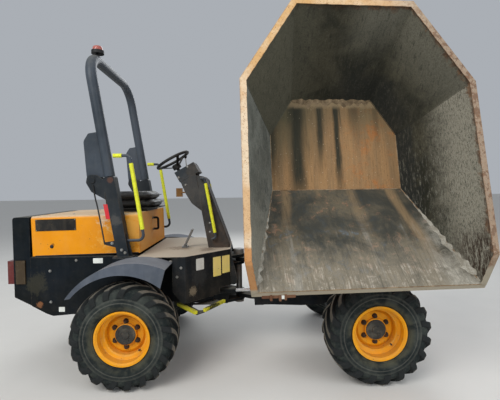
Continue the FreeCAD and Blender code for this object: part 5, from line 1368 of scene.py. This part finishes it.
        fall = (self.rim_z - 1.472) / 0.210
        random = np.random.default_rng(81)
        knocks = sum(np.sin(place * random.uniform(6, 60) + random.uniform(0, 6)) for _ in range(6)) * 0.0005
        rings = []
        for reach, rise in ((-self.cap_reach, 0.0012), (-self.cap_reach, 0.0034), (-self.cap_reach + 0.0015, 0.0046),
                            (0.0245, 0.0046), (0.026, 0.0034), (0.026, 0.0006), (-0.004, 0.0006)):
            flat = along(corners + mitre * reach) + along(mitre) * knocks[:, None] * (reach < -0.01)
            high = self.rim_z - np.maximum(0, flat[:, 0] - 0.940) * fall + rise
            rings.append(np.column_stack((flat, high)))
        return surface(np.stack(rings, axis=1), capped=True)

    def bank(self, seam: tuple[Array, Array], faces: tuple[str, str], first: tuple[float, float],
             second: tuple[float, float], seed: int, mirrored: bool = False) -> Shell:
        """One bank of soil in the corner between two faces.

        Args:
            seam: the ends of the line where the faces meet.
            faces: the two faces.
            first: how far it reaches over the first face at the seam's start and end.
            second: the same over the second face.
            seed: of its lumps.
            mirrored: whether the seam is the mirror of the faces' own.

        Returns:
            The bank. A section point is seam + a (1-w)^1.3 t1 + b w^1.3 t2 for w from 0 to 1, where t1 and t2 run
            along the faces away from the corner, plus lumps up to a fifth of the reach along both normals.
        """
        planes = self.planes()
        flip = np.array([1.0, -1.0 if mirrored else 1.0, 1.0])
        n1, n2 = planes[faces[0]][0] * flip, planes[faces[1]][0] * flip
        t1, t2 = n2 - (n2 @ n1) * n1, n1 - (n1 @ n2) * n2
        t1, t2 = t1 / np.linalg.norm(t1), t2 / np.linalg.norm(t2)
        count = int(np.linalg.norm(seam[1] - seam[0]) / 0.005)
        random = np.random.default_rng(seed)
        share = np.linspace(0, 1, count)[:, None]
        w = np.linspace(0, 1, 9)[None]
        rates, phases = random.uniform(8, 90, (2, 6)), random.uniform(0, 6.28, (2, 6))
        waver = [0.62 + 0.38 * np.sin(share * rates[i][None] + phases[i][None]).mean(1, keepdims=True) * 2
                 for i in (0, 1)]
        ends = np.clip(np.minimum(share + 0.02, 1.02 - share) * 12, 0.1, 1)
        a = (first[0] + (first[1] - first[0]) * share) * waver[0] * ends
        b = (second[0] + (second[1] - second[0]) * share) * waver[1] * ends
        lump = random.uniform(0, 1, (count, 9)) * np.sin(np.pi * w) * np.minimum(a, b) * 0.16
        line = seam[0] + (seam[1] - seam[0]) * share
        crown = (line[:, None] + (a * (1 - w) ** 1.3)[..., None] * t1 + (b * w ** 1.3)[..., None] * t2
                 + lump[..., None] * (n1 + n2))
        under = (line - (n1 + n2) * 0.0012)[:, None]
        return surface(np.concatenate((crown, under), axis=1), capped=True)

    def keeper_place(self) -> Array:
        """Where the keeper stands: just below the lip's right end, facing out of the mouth."""
        return standing(np.array([1.176, -0.640, 1.448]), (0.3, 0.0, 1.0), (0, 1, 0))

    def bracket(self) -> Shell:
        """A rusty steel keeper on a long strip under the right end of the lip."""
        back = self.keeper_place()
        strip = rounded_plate(0.022, 0.230, 0.010, 0.004).moved(back)
        ear = rounded_plate(0.040, 0.016, 0.024, 0.004)
        lift = np.repeat(np.eye(4)[None], 3, 0)
        lift[:, 1, 3] = (-0.052, 0.010, 0.046)
        lift[:, 0, 3] = (0.006, 0.010, 0.004)
        lift[:, 2, 3] = -0.006
        return strip + ear.copied(np.einsum("ij,kjl->kil", back, lift))

    def bracket_tag(self) -> Shell:
        """A blank tag on the keeper."""
        lift = np.eye(4)
        lift[:3, 3] = (0.004, 0.028, 0.0097)
        return rounded_plate(0.024, 0.040, 0.004, 0.003).moved(self.keeper_place() @ lift)


@dataclass(frozen=True)
class Seat:
    """Folded seat: crowned cushion below, crowned back lying on it, with piping round both."""

    middle_y: float = 0.211

    def build(self, shelf: Shelf) -> None:
        """Make and dress the seat's pieces."""
        dress("seat_base", shelf.plastic)
        cushion = self.pad("seat_cushion_pad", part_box("seat_cushion"), 0.012, 41, shelf, "bonnet_body")
        set_aside(cushion, "seat_cushion")
        back = self.pad("seat_back_pad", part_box("seat_back"), 0.012, 42, shelf, "seat_back_body")
        set_aside(back, "seat_back")
        low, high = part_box("seat_back")
        for name, level, body in (("seat_cushion_piping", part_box("seat_cushion")[1].z - 0.030, "bonnet_body"),
                                  ("seat_back_piping", (low.z + high.z) / 2 + 0.004, "seat_back_body")):
            self.piping(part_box("seat_cushion" if "cushion" in name else "seat_back"), level).piece(
                name, shelf.vinyl, body, "seat_vinyl", 60)

    def pad(self, name: str, box: tuple[Vector, Vector], shrink: float, seed: int, shelf: Shelf,
            body: str) -> bpy.types.Object:
        """A stuffed pad inside a CAD solid's box.

        Args:
            name: the piece's name.
            box: the box it fills.
            shrink: how much smaller it starts, for the stuffing to swell.
            seed: of the creases.
            shelf: the finishes.
            body: the body it rides on.

        Returns:
            The pad. It starts as a super-ellipsoid: |x|^5 + |y|^5 + |z|^3 = 1, is swollen as cloth, then gets
            three sewn channels across it and shallow creases.
        """
        low, high = np.array(box[0]), np.array(box[1])
        half = (high - low) / 2 - shrink * np.array([1.0, 1.0, 0.55])
        middle = (low + high) / 2
        u = np.linspace(-np.pi / 2 * 0.985, np.pi / 2 * 0.985, 34)[:, None]
        v = np.linspace(0, 2 * np.pi, 96, endpoint=False)[None]

        def power(value: Array, n: float) -> Array:
            """The signed power that squares a circle."""
            return np.sign(value) * np.abs(value) ** n

        points = np.stack((power(np.cos(u), 0.5) * power(np.cos(v), 0.38) * half[0],
                           power(np.cos(u), 0.5) * power(np.sin(v), 0.38) * half[1],
                           power(np.sin(u), 0.62) * np.ones_like(v) * half[2]), axis=-1) + middle
        made = surface(points, capped=True).piece(name, shelf.vinyl, body, "seat_vinyl", 80)
        swell(made, 0.006, 4.0, 0.010)
        self.sew(made, low, high, seed)
        finish = made.modifiers.new("smoothing", "SUBSURF")
        finish.levels = finish.render_levels = 1
        return made

    def sew(self, made: bpy.types.Object, low: Array, high: Array, seed: int) -> None:
        """Press sewn channels and creases into a pad.

        Args:
            made: the pad.
            low, high: the box it must stay in.
            seed: of the creases.

        The inward move is 5 mm times a narrow bell at each of three lines across, plus 1.5 mm of three sines.
        """
        count = len(made.data.vertices)
        co = np.zeros(count * 3, np.float32)
        no = np.zeros(count * 3, np.float32)
        made.data.vertices.foreach_get("co", co)
        made.data.vertices.foreach_get("normal", no)
        co, no = co.reshape(-1, 3).astype(float), no.reshape(-1, 3)
        share = (co[:, 0] - low[0]) / (high[0] - low[0])
        side = (co[:, 1] - low[1]) / (high[1] - low[1])
        grooves = sum(np.exp(-((share - line) / 0.022) ** 2) for line in (0.28, 0.52, 0.76))
        grooves = grooves * np.clip(np.minimum(side, 1 - side) * 9, 0, 1)
        random = np.random.default_rng(seed)
        waves = sum(np.sin(co @ random.uniform(-70, 70, 3) + random.uniform(0, 6)) for _ in range(3))
        co -= no * (0.005 * grooves + 0.0005 * (waves + 3))[:, None]
        co = np.clip(co, low + 0.0005, high - 0.0005)
        made.data.vertices.foreach_set("co", co.astype(np.float32).ravel())
        made.data.update()

    def piping(self, box: tuple[Vector, Vector], level: float) -> Shell:
        """A sewn cord round a pad: a rounded rectangle |x|^5 + |y|^5 = 1 at one height."""
        low, high = np.array(box[0]), np.array(box[1])
        half, middle = (high - low) / 2 - 0.0035, (low + high) / 2
        angle = np.linspace(0, 2 * np.pi, 120, endpoint=False)
        squared = [np.sign(f(angle)) * np.abs(f(angle)) ** 0.38 for f in (np.cos, np.sin)]
        path = np.stack((middle[0] + half[0] * squared[0], middle[1] + half[1] * squared[1],
                         np.full(len(angle), level)), axis=-1)
        ahead = np.roll(path, -1, 0) - np.roll(path, 1, 0)
        ahead /= np.linalg.norm(ahead, axis=1, keepdims=True)
        aside = np.cross(ahead, (0, 0, 1.0))
        turn = np.linspace(0, 2 * np.pi, 8, endpoint=False)
        ring = (aside[:, None] * np.cos(turn)[None, :, None]
                + np.array([0, 0, 1.0])[None, None] * np.sin(turn)[None, :, None]) * 0.0034
        return surface(path[:, None] + ring, loop_rows=True)


def swell(made: bpy.types.Object, voxel: float, pressure: float, limit: float) -> None:
    """Stuff a pad by cloth simulation and keep the result as its mesh.

    Args:
        made: the pad, whose mesh is replaced.
        voxel: remesh size.
        pressure: cloth pressure.
        limit: furthest that a point may move.
    """
    remesh = made.modifiers.new("even_faces", "REMESH")
    remesh.mode = "VOXEL"
    remesh.voxel_size = voxel
    keep_mesh(made)
    made.data.shade_smooth()
    count = len(made.data.vertices)
    rest = np.zeros(count * 3, np.float32)
    made.data.vertices.foreach_get("co", rest)
    cloth = made.modifiers.new("stuffing", "CLOTH")
    cloth.settings.quality = 5
    cloth.settings.use_pressure = True
    cloth.settings.uniform_pressure_force = pressure
    cloth.settings.effector_weights.gravity = 0.0
    cloth.point_cache.frame_start, cloth.point_cache.frame_end = 1, 20
    scene = bpy.context.scene
    for frame in range(1, 21):
        scene.frame_set(frame)
    keep_mesh(made)
    scene.frame_set(1)
    full = np.zeros(count * 3, np.float32)
    made.data.vertices.foreach_get("co", full)
    move = (full - rest).reshape(-1, 3)
    length = np.linalg.norm(move, axis=1, keepdims=True)
    capped = rest.reshape(-1, 3) + move * np.minimum(1, limit / np.maximum(length, 1e-9))
    made.data.vertices.foreach_set("co", capped.astype(np.float32).ravel())
    made.data.update()


def keep_mesh(made: bpy.types.Object) -> None:
    """Apply every modifier of a piece by keeping its evaluated mesh."""
    graph = bpy.context.evaluated_depsgraph_get()
    mesh = bpy.data.meshes.new_from_object(made.evaluated_get(graph))
    made.modifiers.clear()
    made.data = mesh


@dataclass(frozen=True)
class Bonnet:
    """Engine cover: finishes for it and its blank plates, screws, side stops and edge seals."""

    half: float = 496.0
    body: str = "bonnet_body"

    def build(self, shelf: Shelf) -> None:
        """Make and dress the bonnet's pieces."""
        dress("bonnet", shelf.orange)
        dress("bonnet_plates", shelf.blank_black)
        dress("bonnet_handle", shelf.plastic)
        screws, stops = None, None
        for side in Side:
            face = side.value * self.half
            outward = (0, side.value, 0)
            for x, z in ((-1724, 1304), (-1724, 1220), (-1396, 1304), (-1396, 1220)):
                screw = round_head(0.0045, 0.003).moved(standing(at(x, face + side.value * 3, z), outward))
                screws = screw if screws is None else screws + screw
            stop = round_head(0.016, 0.008).moved(standing(at(-1603, face, 1076), outward))
            stops = stop if stops is None else stops + stop
        for y in (-300, 300):
            for x in (-1490, -1190):
                screws = screws + round_head(0.011, 0.006).moved(standing(at(x, y, 1339), (0, 0, 1), (0, 1, 0)))
        for z in (1150, 1262):
            screws = screws + hex_head(0.017, 0.009).moved(standing(at(-851, -20, z), (1, 0, 0)))
        ajar = self.ajar()
        screws.moved(ajar).piece("bonnet_screws", shelf.bolt, self.body, "grey_steel", 30)
        stops.moved(ajar).piece("bonnet_rubber_stops", shelf.plastic, self.body, "black_plastic", 40)
        self.seal().moved(ajar).piece("bonnet_edge_seal", shelf.plastic, self.body, "black_plastic", 50)

    @staticmethod
    def ajar() -> Array:
        """The matrix that lifts the shut bonnet by one degree about its rear hinge, as it stands at rest."""
        hinge = Matrix.Translation(Vector(at(-1756, 0, 1322)))
        return np.array(hinge @ Matrix.Rotation(math.radians(-1.0), 4, "Y") @ hinge.inverted())

    def seal(self) -> Shell:
        """A soft bead pushed over the bonnet's lower side edges."""
        whole = None
        for side in Side:
            y = side.value * (self.half - 2.5)
            path = rough_line(at(-1745, y, 999.5), at(-862, y, 999.5), 60, 0.0003, 15 + side.value)
            bead = tube(path, 0.0048, 8)
            whole = bead if whole is None else whole + bead
        return whole


@dataclass(frozen=True)
class RearEnd:
    """Rear chassis, tail, deck, steps and mudguards: finishes, bolts and blank labels."""

    side_y: float = 500.0
    deck_y: float = 620.0
    body: str = "rear_body"

    def build(self, shelf: Shelf) -> None:
        """Make and dress the rear pieces."""
        for node in ("rear_chassis", "tail_housing", "steps"):
            dress(node, shelf.black)
        dress("platform", shelf.deck)
        dress("rear_mudguards", shelf.guard)
        dress("step_edges", shelf.step_yellow)
        dress("engine", shelf.cast)
        dress("rear_axle", shelf.black)
        dress("pivot_pin", shelf.grey_steel)
        dress("tow_jaw", shelf.black)
        self.bolts().piece("chassis_bolts", shelf.bolt, self.body, "grey_steel", 28)
        self.labels(((-359, -539), (-299, -478)), (958, 858)).piece("blank_white_plate", shelf.blank_white,
                                                                    self.body, "black_plastic", 30)
        yellow = (self.labels(((-225, -403), (-160, -337)), (943, 769))
                  + self.labels(((-149, -326), (-84, -259)), (941, 781)))
        yellow.piece("blank_yellow_plates", shelf.blank_yellow, self.body, "yellow_paint", 30)
        # a dark sheet that stands in for the shade behind the tail's grille
        self.shade_sheet().piece("grille_shade_sheet", shelf.plastic, self.body, "black_plastic", 40)
        self.foam().piece("bonnet_foam_strips", shelf.plastic, self.body, "black_plastic", 40)
        small = self.side_label(-1206, 951, 84, 44) + self.side_label(-1526, 534, 52, 42)
        small.piece("blank_side_labels", shelf.blank_white, self.body, "black_plastic", 30)

    def bolts(self) -> Shell:
        """Bolt heads on the side plates, deck walls, mudguards and tail."""
        spots = []
        for side in Side:
            y, outward = side.value, (0, side.value, 0)
            spots += [(at(x, y * self.side_y, z), outward) for x, z in
                      ((-1618, 869), (-1618, 600), (-1392, 958))]
            spots += [(at(x, y * self.deck_y, z), outward) for x, z in
                      ((-509, 826), (-474, 901), (-700, 955), (-560, 955))]
        whole = None
        for point, outward in spots:
            bolt = hex_head(0.017, 0.009).moved(standing(point, outward))
            whole = bolt if whole is None else whole + bolt
        for side in Side:
            for x, z in ((-1893, 900), (-1893, 640)):
                y = side.value * 380
                whole = whole + hex_head(0.016, 0.009).moved(standing(at(-1925, y, z), (-1, 0, 0)))
        return whole

    def shade_sheet(self) -> Shell:
        """A dark sheet against the inside of the tail's grille, standing in for the shade inside the tail."""
        place = standing(at(-1908.8, 0, 1060), (-1, 0, 0))
        return rounded_plate(0.640, 0.440, 0.002, 0.01).moved(place)

    def foam(self) -> Shell:
        """Foam strips along the chassis tops, which the closed bonnet's edges come down on."""
        whole = None
        for side in Side:
            y = side.value * 489
            path = rough_line(at(-1778, y, 989.2), at(-866, y, 989.2), 40, 0.0002, 5 + side.value)
            strip = tube(path, 0.0044, 8)
            whole = strip if whole is None else whole + strip
        return whole

    def labels(self, ends: tuple[tuple[float, float], tuple[float, float]], heights: tuple[float, float]) -> Shell:
        """A blank plate on the sloping right wall of the deck.

        Args:
            ends: plan positions of its two side edges, in millimetres from the pivot.
            heights: top and bottom heights in millimetres.

        Returns:
            The plate.
        """
        first, last = np.array(ends[0]), np.array(ends[1])
        middle = (first + last) / 2
        width = float(np.linalg.norm(last - first)) / 1000
        height = (heights[0] - heights[1]) / 1000
        foot = at(middle[0], middle[1], (heights[0] + heights[1]) / 2)
        return rounded_plate(width, height, 0.0022, 0.006).moved(standing(foot, (0.714, -0.700, 0)))

    def side_label(self, x: float, z: float, width: float, height: float) -> Shell:
        """A blank label on the right side plate."""
        matrix = standing(at(x, -self.side_y, z), (0, -1, 0))
        return rounded_plate(width / 1000, height / 1000, 0.0016, 0.004).moved(matrix)


@dataclass(frozen=True)
class RollBar:
    """Folding roll bar: finishes, plate bolts, the beacon's dome and the two beacon leads."""

    cable_y: float = 0.606
    cable_radius: float = 0.006

    def build(self, shelf: Shelf) -> None:
        """Make and dress the roll bar's pieces."""
        dress("roll_posts", shelf.post)
        dress("roll_hoop", shelf.roll)
        dress("beacon_base", shelf.plastic)
        dome = self.dome().piece("beacon_dome", shelf.beacon_red, "roll_hoop_body", "red_lens", 35)
        set_aside(dome, "beacon_lens")
        dress("beacon_cable", shelf.plastic)
        self.bolts().piece("roll_bar_bolts", shelf.bolt, "rear_body", "grey_steel", 28)
        for side in Side:
            self.lead(side, shelf)

    def dome(self) -> Shell:
        """The beacon's lens: a lathed dome whose radius carries 24 shallow flutes."""
        low, high = (np.array(corner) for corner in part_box("beacon_lens"))
        middle, reach, tall = (low + high) / 2, (high[0] - low[0]) / 2, high[2] - low[2]
        rise = np.array([0.0, 0.10, 0.12, 0.45, 0.72, 0.88, 0.96, 1.0])
        wide = np.array([0.99, 0.99, 0.93, 0.91, 0.86, 0.74, 0.55, 0.2])
        angle = np.linspace(0, 2 * np.pi, 144, endpoint=False)
        flute = 1 - 0.012 * (0.5 + 0.5 * np.cos(24 * angle))[None] * (rise[:, None] > 0.1)
        radius = reach * wide[:, None] * flute
        points = np.stack((radius * np.cos(angle) + middle[0], radius * np.sin(angle) + middle[1],
                           np.repeat((low[2] + tall * rise)[:, None], len(angle), 1)), axis=-1)
        return surface(points, capped=True)

    def bolts(self) -> Shell:
        """Bolt heads near the foot of both posts."""
        whole = None
        for side in Side:
            for x, z in ((-968, 1056), (-940, 1032), (-1046, 1113)):
                y = side.value * 599.5
                bolt = hex_head(0.018, 0.010).moved(standing(at(x, y, z), (0, side.value, 0)))
                whole = bolt if whole is None else whole + bolt
        return whole

    def lead(self, side: Side, shelf: Shelf) -> None:
        """The lead that hangs behind one post, from the joint down to the foot."""
        y = side.value * self.cable_y * 1000
        points = [at(x, y, z) for x, z in ((-1188.5, 1600.6), (-1176, 1500), (-1150, 1400), (-1106, 1114))]
        curve = bpy.data.curves.new(f"beacon_lead_{side.name.lower()}", "CURVE")
        curve.dimensions = "3D"
        spline = curve.splines.new("NURBS")
        spline.points.add(len(points) - 1)
        for spot, point in zip(spline.points, points):
            spot.co = (*point, 1.0)
        spline.order_u = 3
        spline.use_endpoint_u = True
        curve.bevel_depth = self.cable_radius
        curve.bevel_resolution = 3
        curve.resolution_u = 12
        lead = bpy.data.objects.new(curve.name, curve)
        bpy.context.scene.collection.objects.link(lead)
        curve.materials.append(shelf.plastic)
        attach(lead, "rear_body")
        set_aside(lead, "beacon_cable")


@dataclass(frozen=True)
class DriverPlace:
    """Console, steering wheel, rails, pedal and lamps."""

    body: str = "rear_body"

    def build(self, shelf: Shelf) -> None:
        """Make and dress the driver's place."""
        dress("console", shelf.console)
        dress("steering_wheel", shelf.plastic)
        dress("handrails", shelf.roll)
        dress("yellow_grips", shelf.sleeve)
        dress("foot_pedal", shelf.grey_steel)
        dress("stop_lamps", shelf.stop_red)
        dress("turn_lamps", shelf.amber)
        self.bolts().piece("console_bolts", shelf.bolt, self.body, "grey_steel", 28)
        self.panel(shelf)
        self.cap().piece("steering_wheel_cap", shelf.plastic, "steering_wheel_body", "black_plastic", 40)
        self.treads().piece("pedal_treads", shelf.plastic, self.body, "black_plastic", 40)

    def bolts(self) -> Shell:
        """Round heads on both sides of the console."""
        whole = None
        for side in Side:
            for x, y, z in ((-475, 150, 1770), (-494, 154, 1597), (-270, 160, 1230), (-270, 160, 1144),
                            (-560, 150, 1668)):
                head = round_head(0.011, 0.006).moved(standing(at(x, side.value * y, z), (0, side.value, 0)))
                whole = head if whole is None else whole + head
        return whole

    def tilt(self, x: float, y: float, z: float) -> Array:
        """A place on the steering head, from its own tilted axes in millimetres."""
        turn = math.radians(-29.0)
        rotated = np.array([math.cos(turn) * x + math.sin(turn) * z, y, -math.sin(turn) * x + math.cos(turn) * z])
        return at(*(rotated + np.array([-640.0, 0.0, 1846.0])))

    def panel(self, shelf: Shelf) -> None:
        """Two blank gauges, a row of four warning lamps and a short lever with its knob on the head's top."""
        turn = math.radians(-29.0)
        up = (math.sin(turn), 0.0, math.cos(turn))
        along = (math.cos(turn), 0.0, -math.sin(turn))
        gauge = lathe([(0.030, -0.001), (0.030, 0.006), (0.026, 0.008), (0.025, 0.004)], 36)
        dials = gauge.moved(standing(self.tilt(118, -62, -134), up, along))
        dials = dials + gauge.moved(standing(self.tilt(118, 62, -134), up, along))
        dials.piece("console_blank_dials", shelf.plastic, self.body, "black_plastic", 30)
        lamp = round_head(0.006, 0.004)
        lamps = lamp.moved(standing(self.tilt(140, -24, -134), up, along))
        for y in (-8, 8, 24):
            lamps = lamps + lamp.moved(standing(self.tilt(140, y, -134), up, along))
        lamps.piece("console_pilot_lamps", shelf.amber, self.body, "amber_lens", 40)
        foot = self.tilt(60, 132, -134)
        path = foot + np.linspace(0, 1, 12)[:, None] ** np.array([1.0, 1.0, 1.3]) * np.array([-0.015, 0.018, 0.12])
        lever = tube(path, 0.0045, 10, (0, 1, 0))
        lever.piece("gear_lever", shelf.bolt, self.body, "grey_steel", 40)
        knob = lathe([(0.006, 0), (0.013, 0.008), (0.0155, 0.020), (0.012, 0.032), (0.004, 0.036)], 24)
        knob.moved(standing(path[-1] - np.array([0, 0, 0.004]), (-0.1, 0.12, 1), (1, 0, 0))).piece(
            "gear_lever_knob", shelf.plastic, self.body, "black_plastic", 60)

    def cap(self) -> Shell:
        """The steering wheel's centre cap with a raised rim."""
        turn = math.radians(-29.0)
        up = (math.sin(turn), 0.0, math.cos(turn))
        cap = lathe([(0.040, -0.002), (0.040, 0.008), (0.034, 0.014), (0.024, 0.016), (0.022, 0.013),
                     (0.008, 0.013)], 36)
        return cap.moved(standing(self.tilt(0, 0, -62), up, (0, 1, 0)))

    def treads(self) -> Shell:
        """Rubber ribs across the pedal's face."""
        turn = math.radians(26.0)
        foot = at(-520, 0, 1003)
        normal = np.array([-math.cos(turn), 0.0, math.sin(turn)])
        rise = np.array([math.sin(turn), 0.0, math.cos(turn)])
        whole = None
        for level in np.arange(0.050, 0.180, 0.017):
            start = foot + rise * level + normal * 0.0085
            path = np.linspace(start + np.array([0, -0.143, 0]), start + np.array([0, -0.067, 0]), 6)
            rib = tube(path, 0.0032, 8)
            whole = rib if whole is None else whole + rib
        return whole


@dataclass(frozen=True)
class FrontEnd:
    """Front chassis, turntable, axle and rams."""

    def build(self, shelf: Shelf) -> None:
        """Make and dress the front pieces."""
        for node in ("front_chassis", "turntable", "front_axle"):
            dress(node, shelf.black)
        for node in ("tip_barrel", "steering_barrel"):
            dress(node, shelf.black)
        for node in ("tip_rod", "steering_rod"):
            dress(node, shelf.chrome)
        self.ring_bolts().piece("turntable_bolts", shelf.bolt, "turntable_body", "grey_steel", 28)

    def ring_bolts(self) -> Shell:
        """Sixteen bolts through the turntable plate, in a circle about the slew centre."""
        angle = np.radians(22.5 * np.arange(16) + 11.25)
        seats = np.repeat(np.eye(4)[None], 16, 0)
        seats[:, :3, 3] = np.stack((0.225 * np.cos(angle), 0.225 * np.sin(angle), np.full(16, 0.750)), axis=-1)
        seats[:, :2, 3] += np.array([0.949, 0.211])
        return hex_head(0.019, 0.011).copied(seats)


@dataclass(frozen=True)
class Studio:
    """Pale floor, soft light and the camera."""

    camera_place: tuple[float, float, float] = (0.1603, -3.4405, 1.5552)
    turn_z: float = -0.0189
    turn_x: float = -0.0317
    turn_y: float = 0.0139
    focal_pixels: float = 365.0
    image_width: int = 500

    def build(self) -> None:
        """Set up the stage."""
        self.floor()
        self.sky()
        self.lamp("key", (-3.5, -6.0, 6.5), 5.0, 560.0, (1.0, 0.985, 0.96))
        self.lamp("fill", (5.5, -5.0, 4.0), 5.0, 230.0, (0.93, 0.96, 1.0))
        self.lamp("rear", (0.5, 6.5, 5.5), 5.0, 260.0, (0.95, 0.975, 1.0))
        self.camera()

    def floor(self) -> None:
        """A plain pale floor with a faint grain."""
        mesh = bpy.data.meshes.new("studio_floor")
        reach = 60.0
        mesh.from_pydata([(-reach, -reach, 0), (reach, -reach, 0), (reach, reach, 0), (-reach, reach, 0)], [],
                         [(0, 1, 2, 3)])
        floor = bpy.data.objects.new("studio_floor", mesh)
        bpy.context.scene.collection.objects.link(floor)
        bench = Bench("studio_floor")
        grain = bench.noise(bench.place, 3.0, 4, 0.5)
        base = bench.mix(grain, paint_chip(206, 204, 199), paint_chip(212, 210, 205))
        mesh.materials.append(bench.shade(base, 0.85))

    def sky(self) -> None:
        """An even, slightly cool sky, shown with the plain display curve."""
        world = bpy.data.worlds.new("studio_sky")
        world.use_nodes = True
        backdrop = world.node_tree.nodes["Background"]
        backdrop.inputs["Color"].default_value = paint_chip(222, 228, 236)
        backdrop.inputs["Strength"].default_value = 0.55
        bpy.context.scene.world = world
        bpy.context.scene.view_settings.view_transform = "Standard"

    def lamp(self, name: str, place: tuple[float, float, float], size: float, power: float,
             colour: tuple[float, float, float]) -> None:
        """A square soft lamp that looks at the machine's middle.

        Args:
            name: the lamp's name.
            place: where it hangs.
            size: its side.
            power: watts.
            colour: its tint.
        """
        light = bpy.data.lights.new(name, "AREA")
        light.size, light.energy, light.color = size, power, colour
        hung = bpy.data.objects.new(name, light)
        hung.location = place
        hung.rotation_mode = "QUATERNION"
        hung.rotation_quaternion = (Vector((0.1, 0.0, 1.1)) - Vector(place)).to_track_quat("-Z", "Y")
        bpy.context.scene.collection.objects.link(hung)

    def camera(self) -> None:
        """The camera at the photograph's place: 365 pixels of focal length in a 500 pixel frame."""
        lens = bpy.data.cameras.new("photo_view")
        lens.sensor_width = 36.0
        lens.lens = self.focal_pixels / self.image_width * lens.sensor_width
        lens.clip_start, lens.clip_end = 0.05, 200.0
        view = bpy.data.objects.new("photo_view", lens)
        turn = (Euler((0, 0, self.turn_z)).to_matrix() @ Euler((self.turn_x, 0, 0)).to_matrix()
                @ Euler((0, self.turn_y, 0)).to_matrix())
        right, ahead, up = (turn @ Vector(axis) for axis in ((1, 0, 0), (0, 1, 0), (0, 0, 1)))
        matrix = Matrix((right, up, -ahead)).transposed().to_4x4()
        matrix.translation = Vector(self.camera_place)
        view.matrix_world = matrix
        bpy.context.scene.collection.objects.link(view)
        bpy.context.scene.camera = view


def skip_pose() -> Matrix:
    """The move from the level skip's frame to the row frame: slewed, then tipped about its hinge."""
    slew_centre = Matrix.Translation((0.949, 0.211, 0.0))
    hinge = Matrix.Translation((0.805, 0.0, 1.132))
    slewed = Matrix.Rotation(math.radians(-86.2), 4, "Z")
    tipped = Matrix.Rotation(math.radians(78.75), 4, "Y")
    return slew_centre @ slewed @ hinge @ tipped @ hinge.inverted()


def main() -> None:
    """Build the machine's sub-assemblies in order."""
    logging.basicConfig(level=logging.INFO, format="%(name)s %(message)s")
    to_row = skip_pose()
    Studio().build()
    shelf = Shelf(to_row.inverted())
    RollBar().build(shelf)
    RearEnd().build(shelf)
    Bonnet().build(shelf)
    Seat().build(shelf)
    DriverPlace().build(shelf)
    FrontEnd().build(shelf)
    Skip(to_row).build(shelf)
    for label, x, side in (("rear_right", -892, Side.RIGHT), ("rear_left", -892, Side.LEFT),
                           ("front_right", 1096, Side.RIGHT), ("front_left", 1096, Side.LEFT)):
        Wheel(label, at(x, side.value * 760, 415), side).build(shelf)


if __name__ == "__main__":
    main()
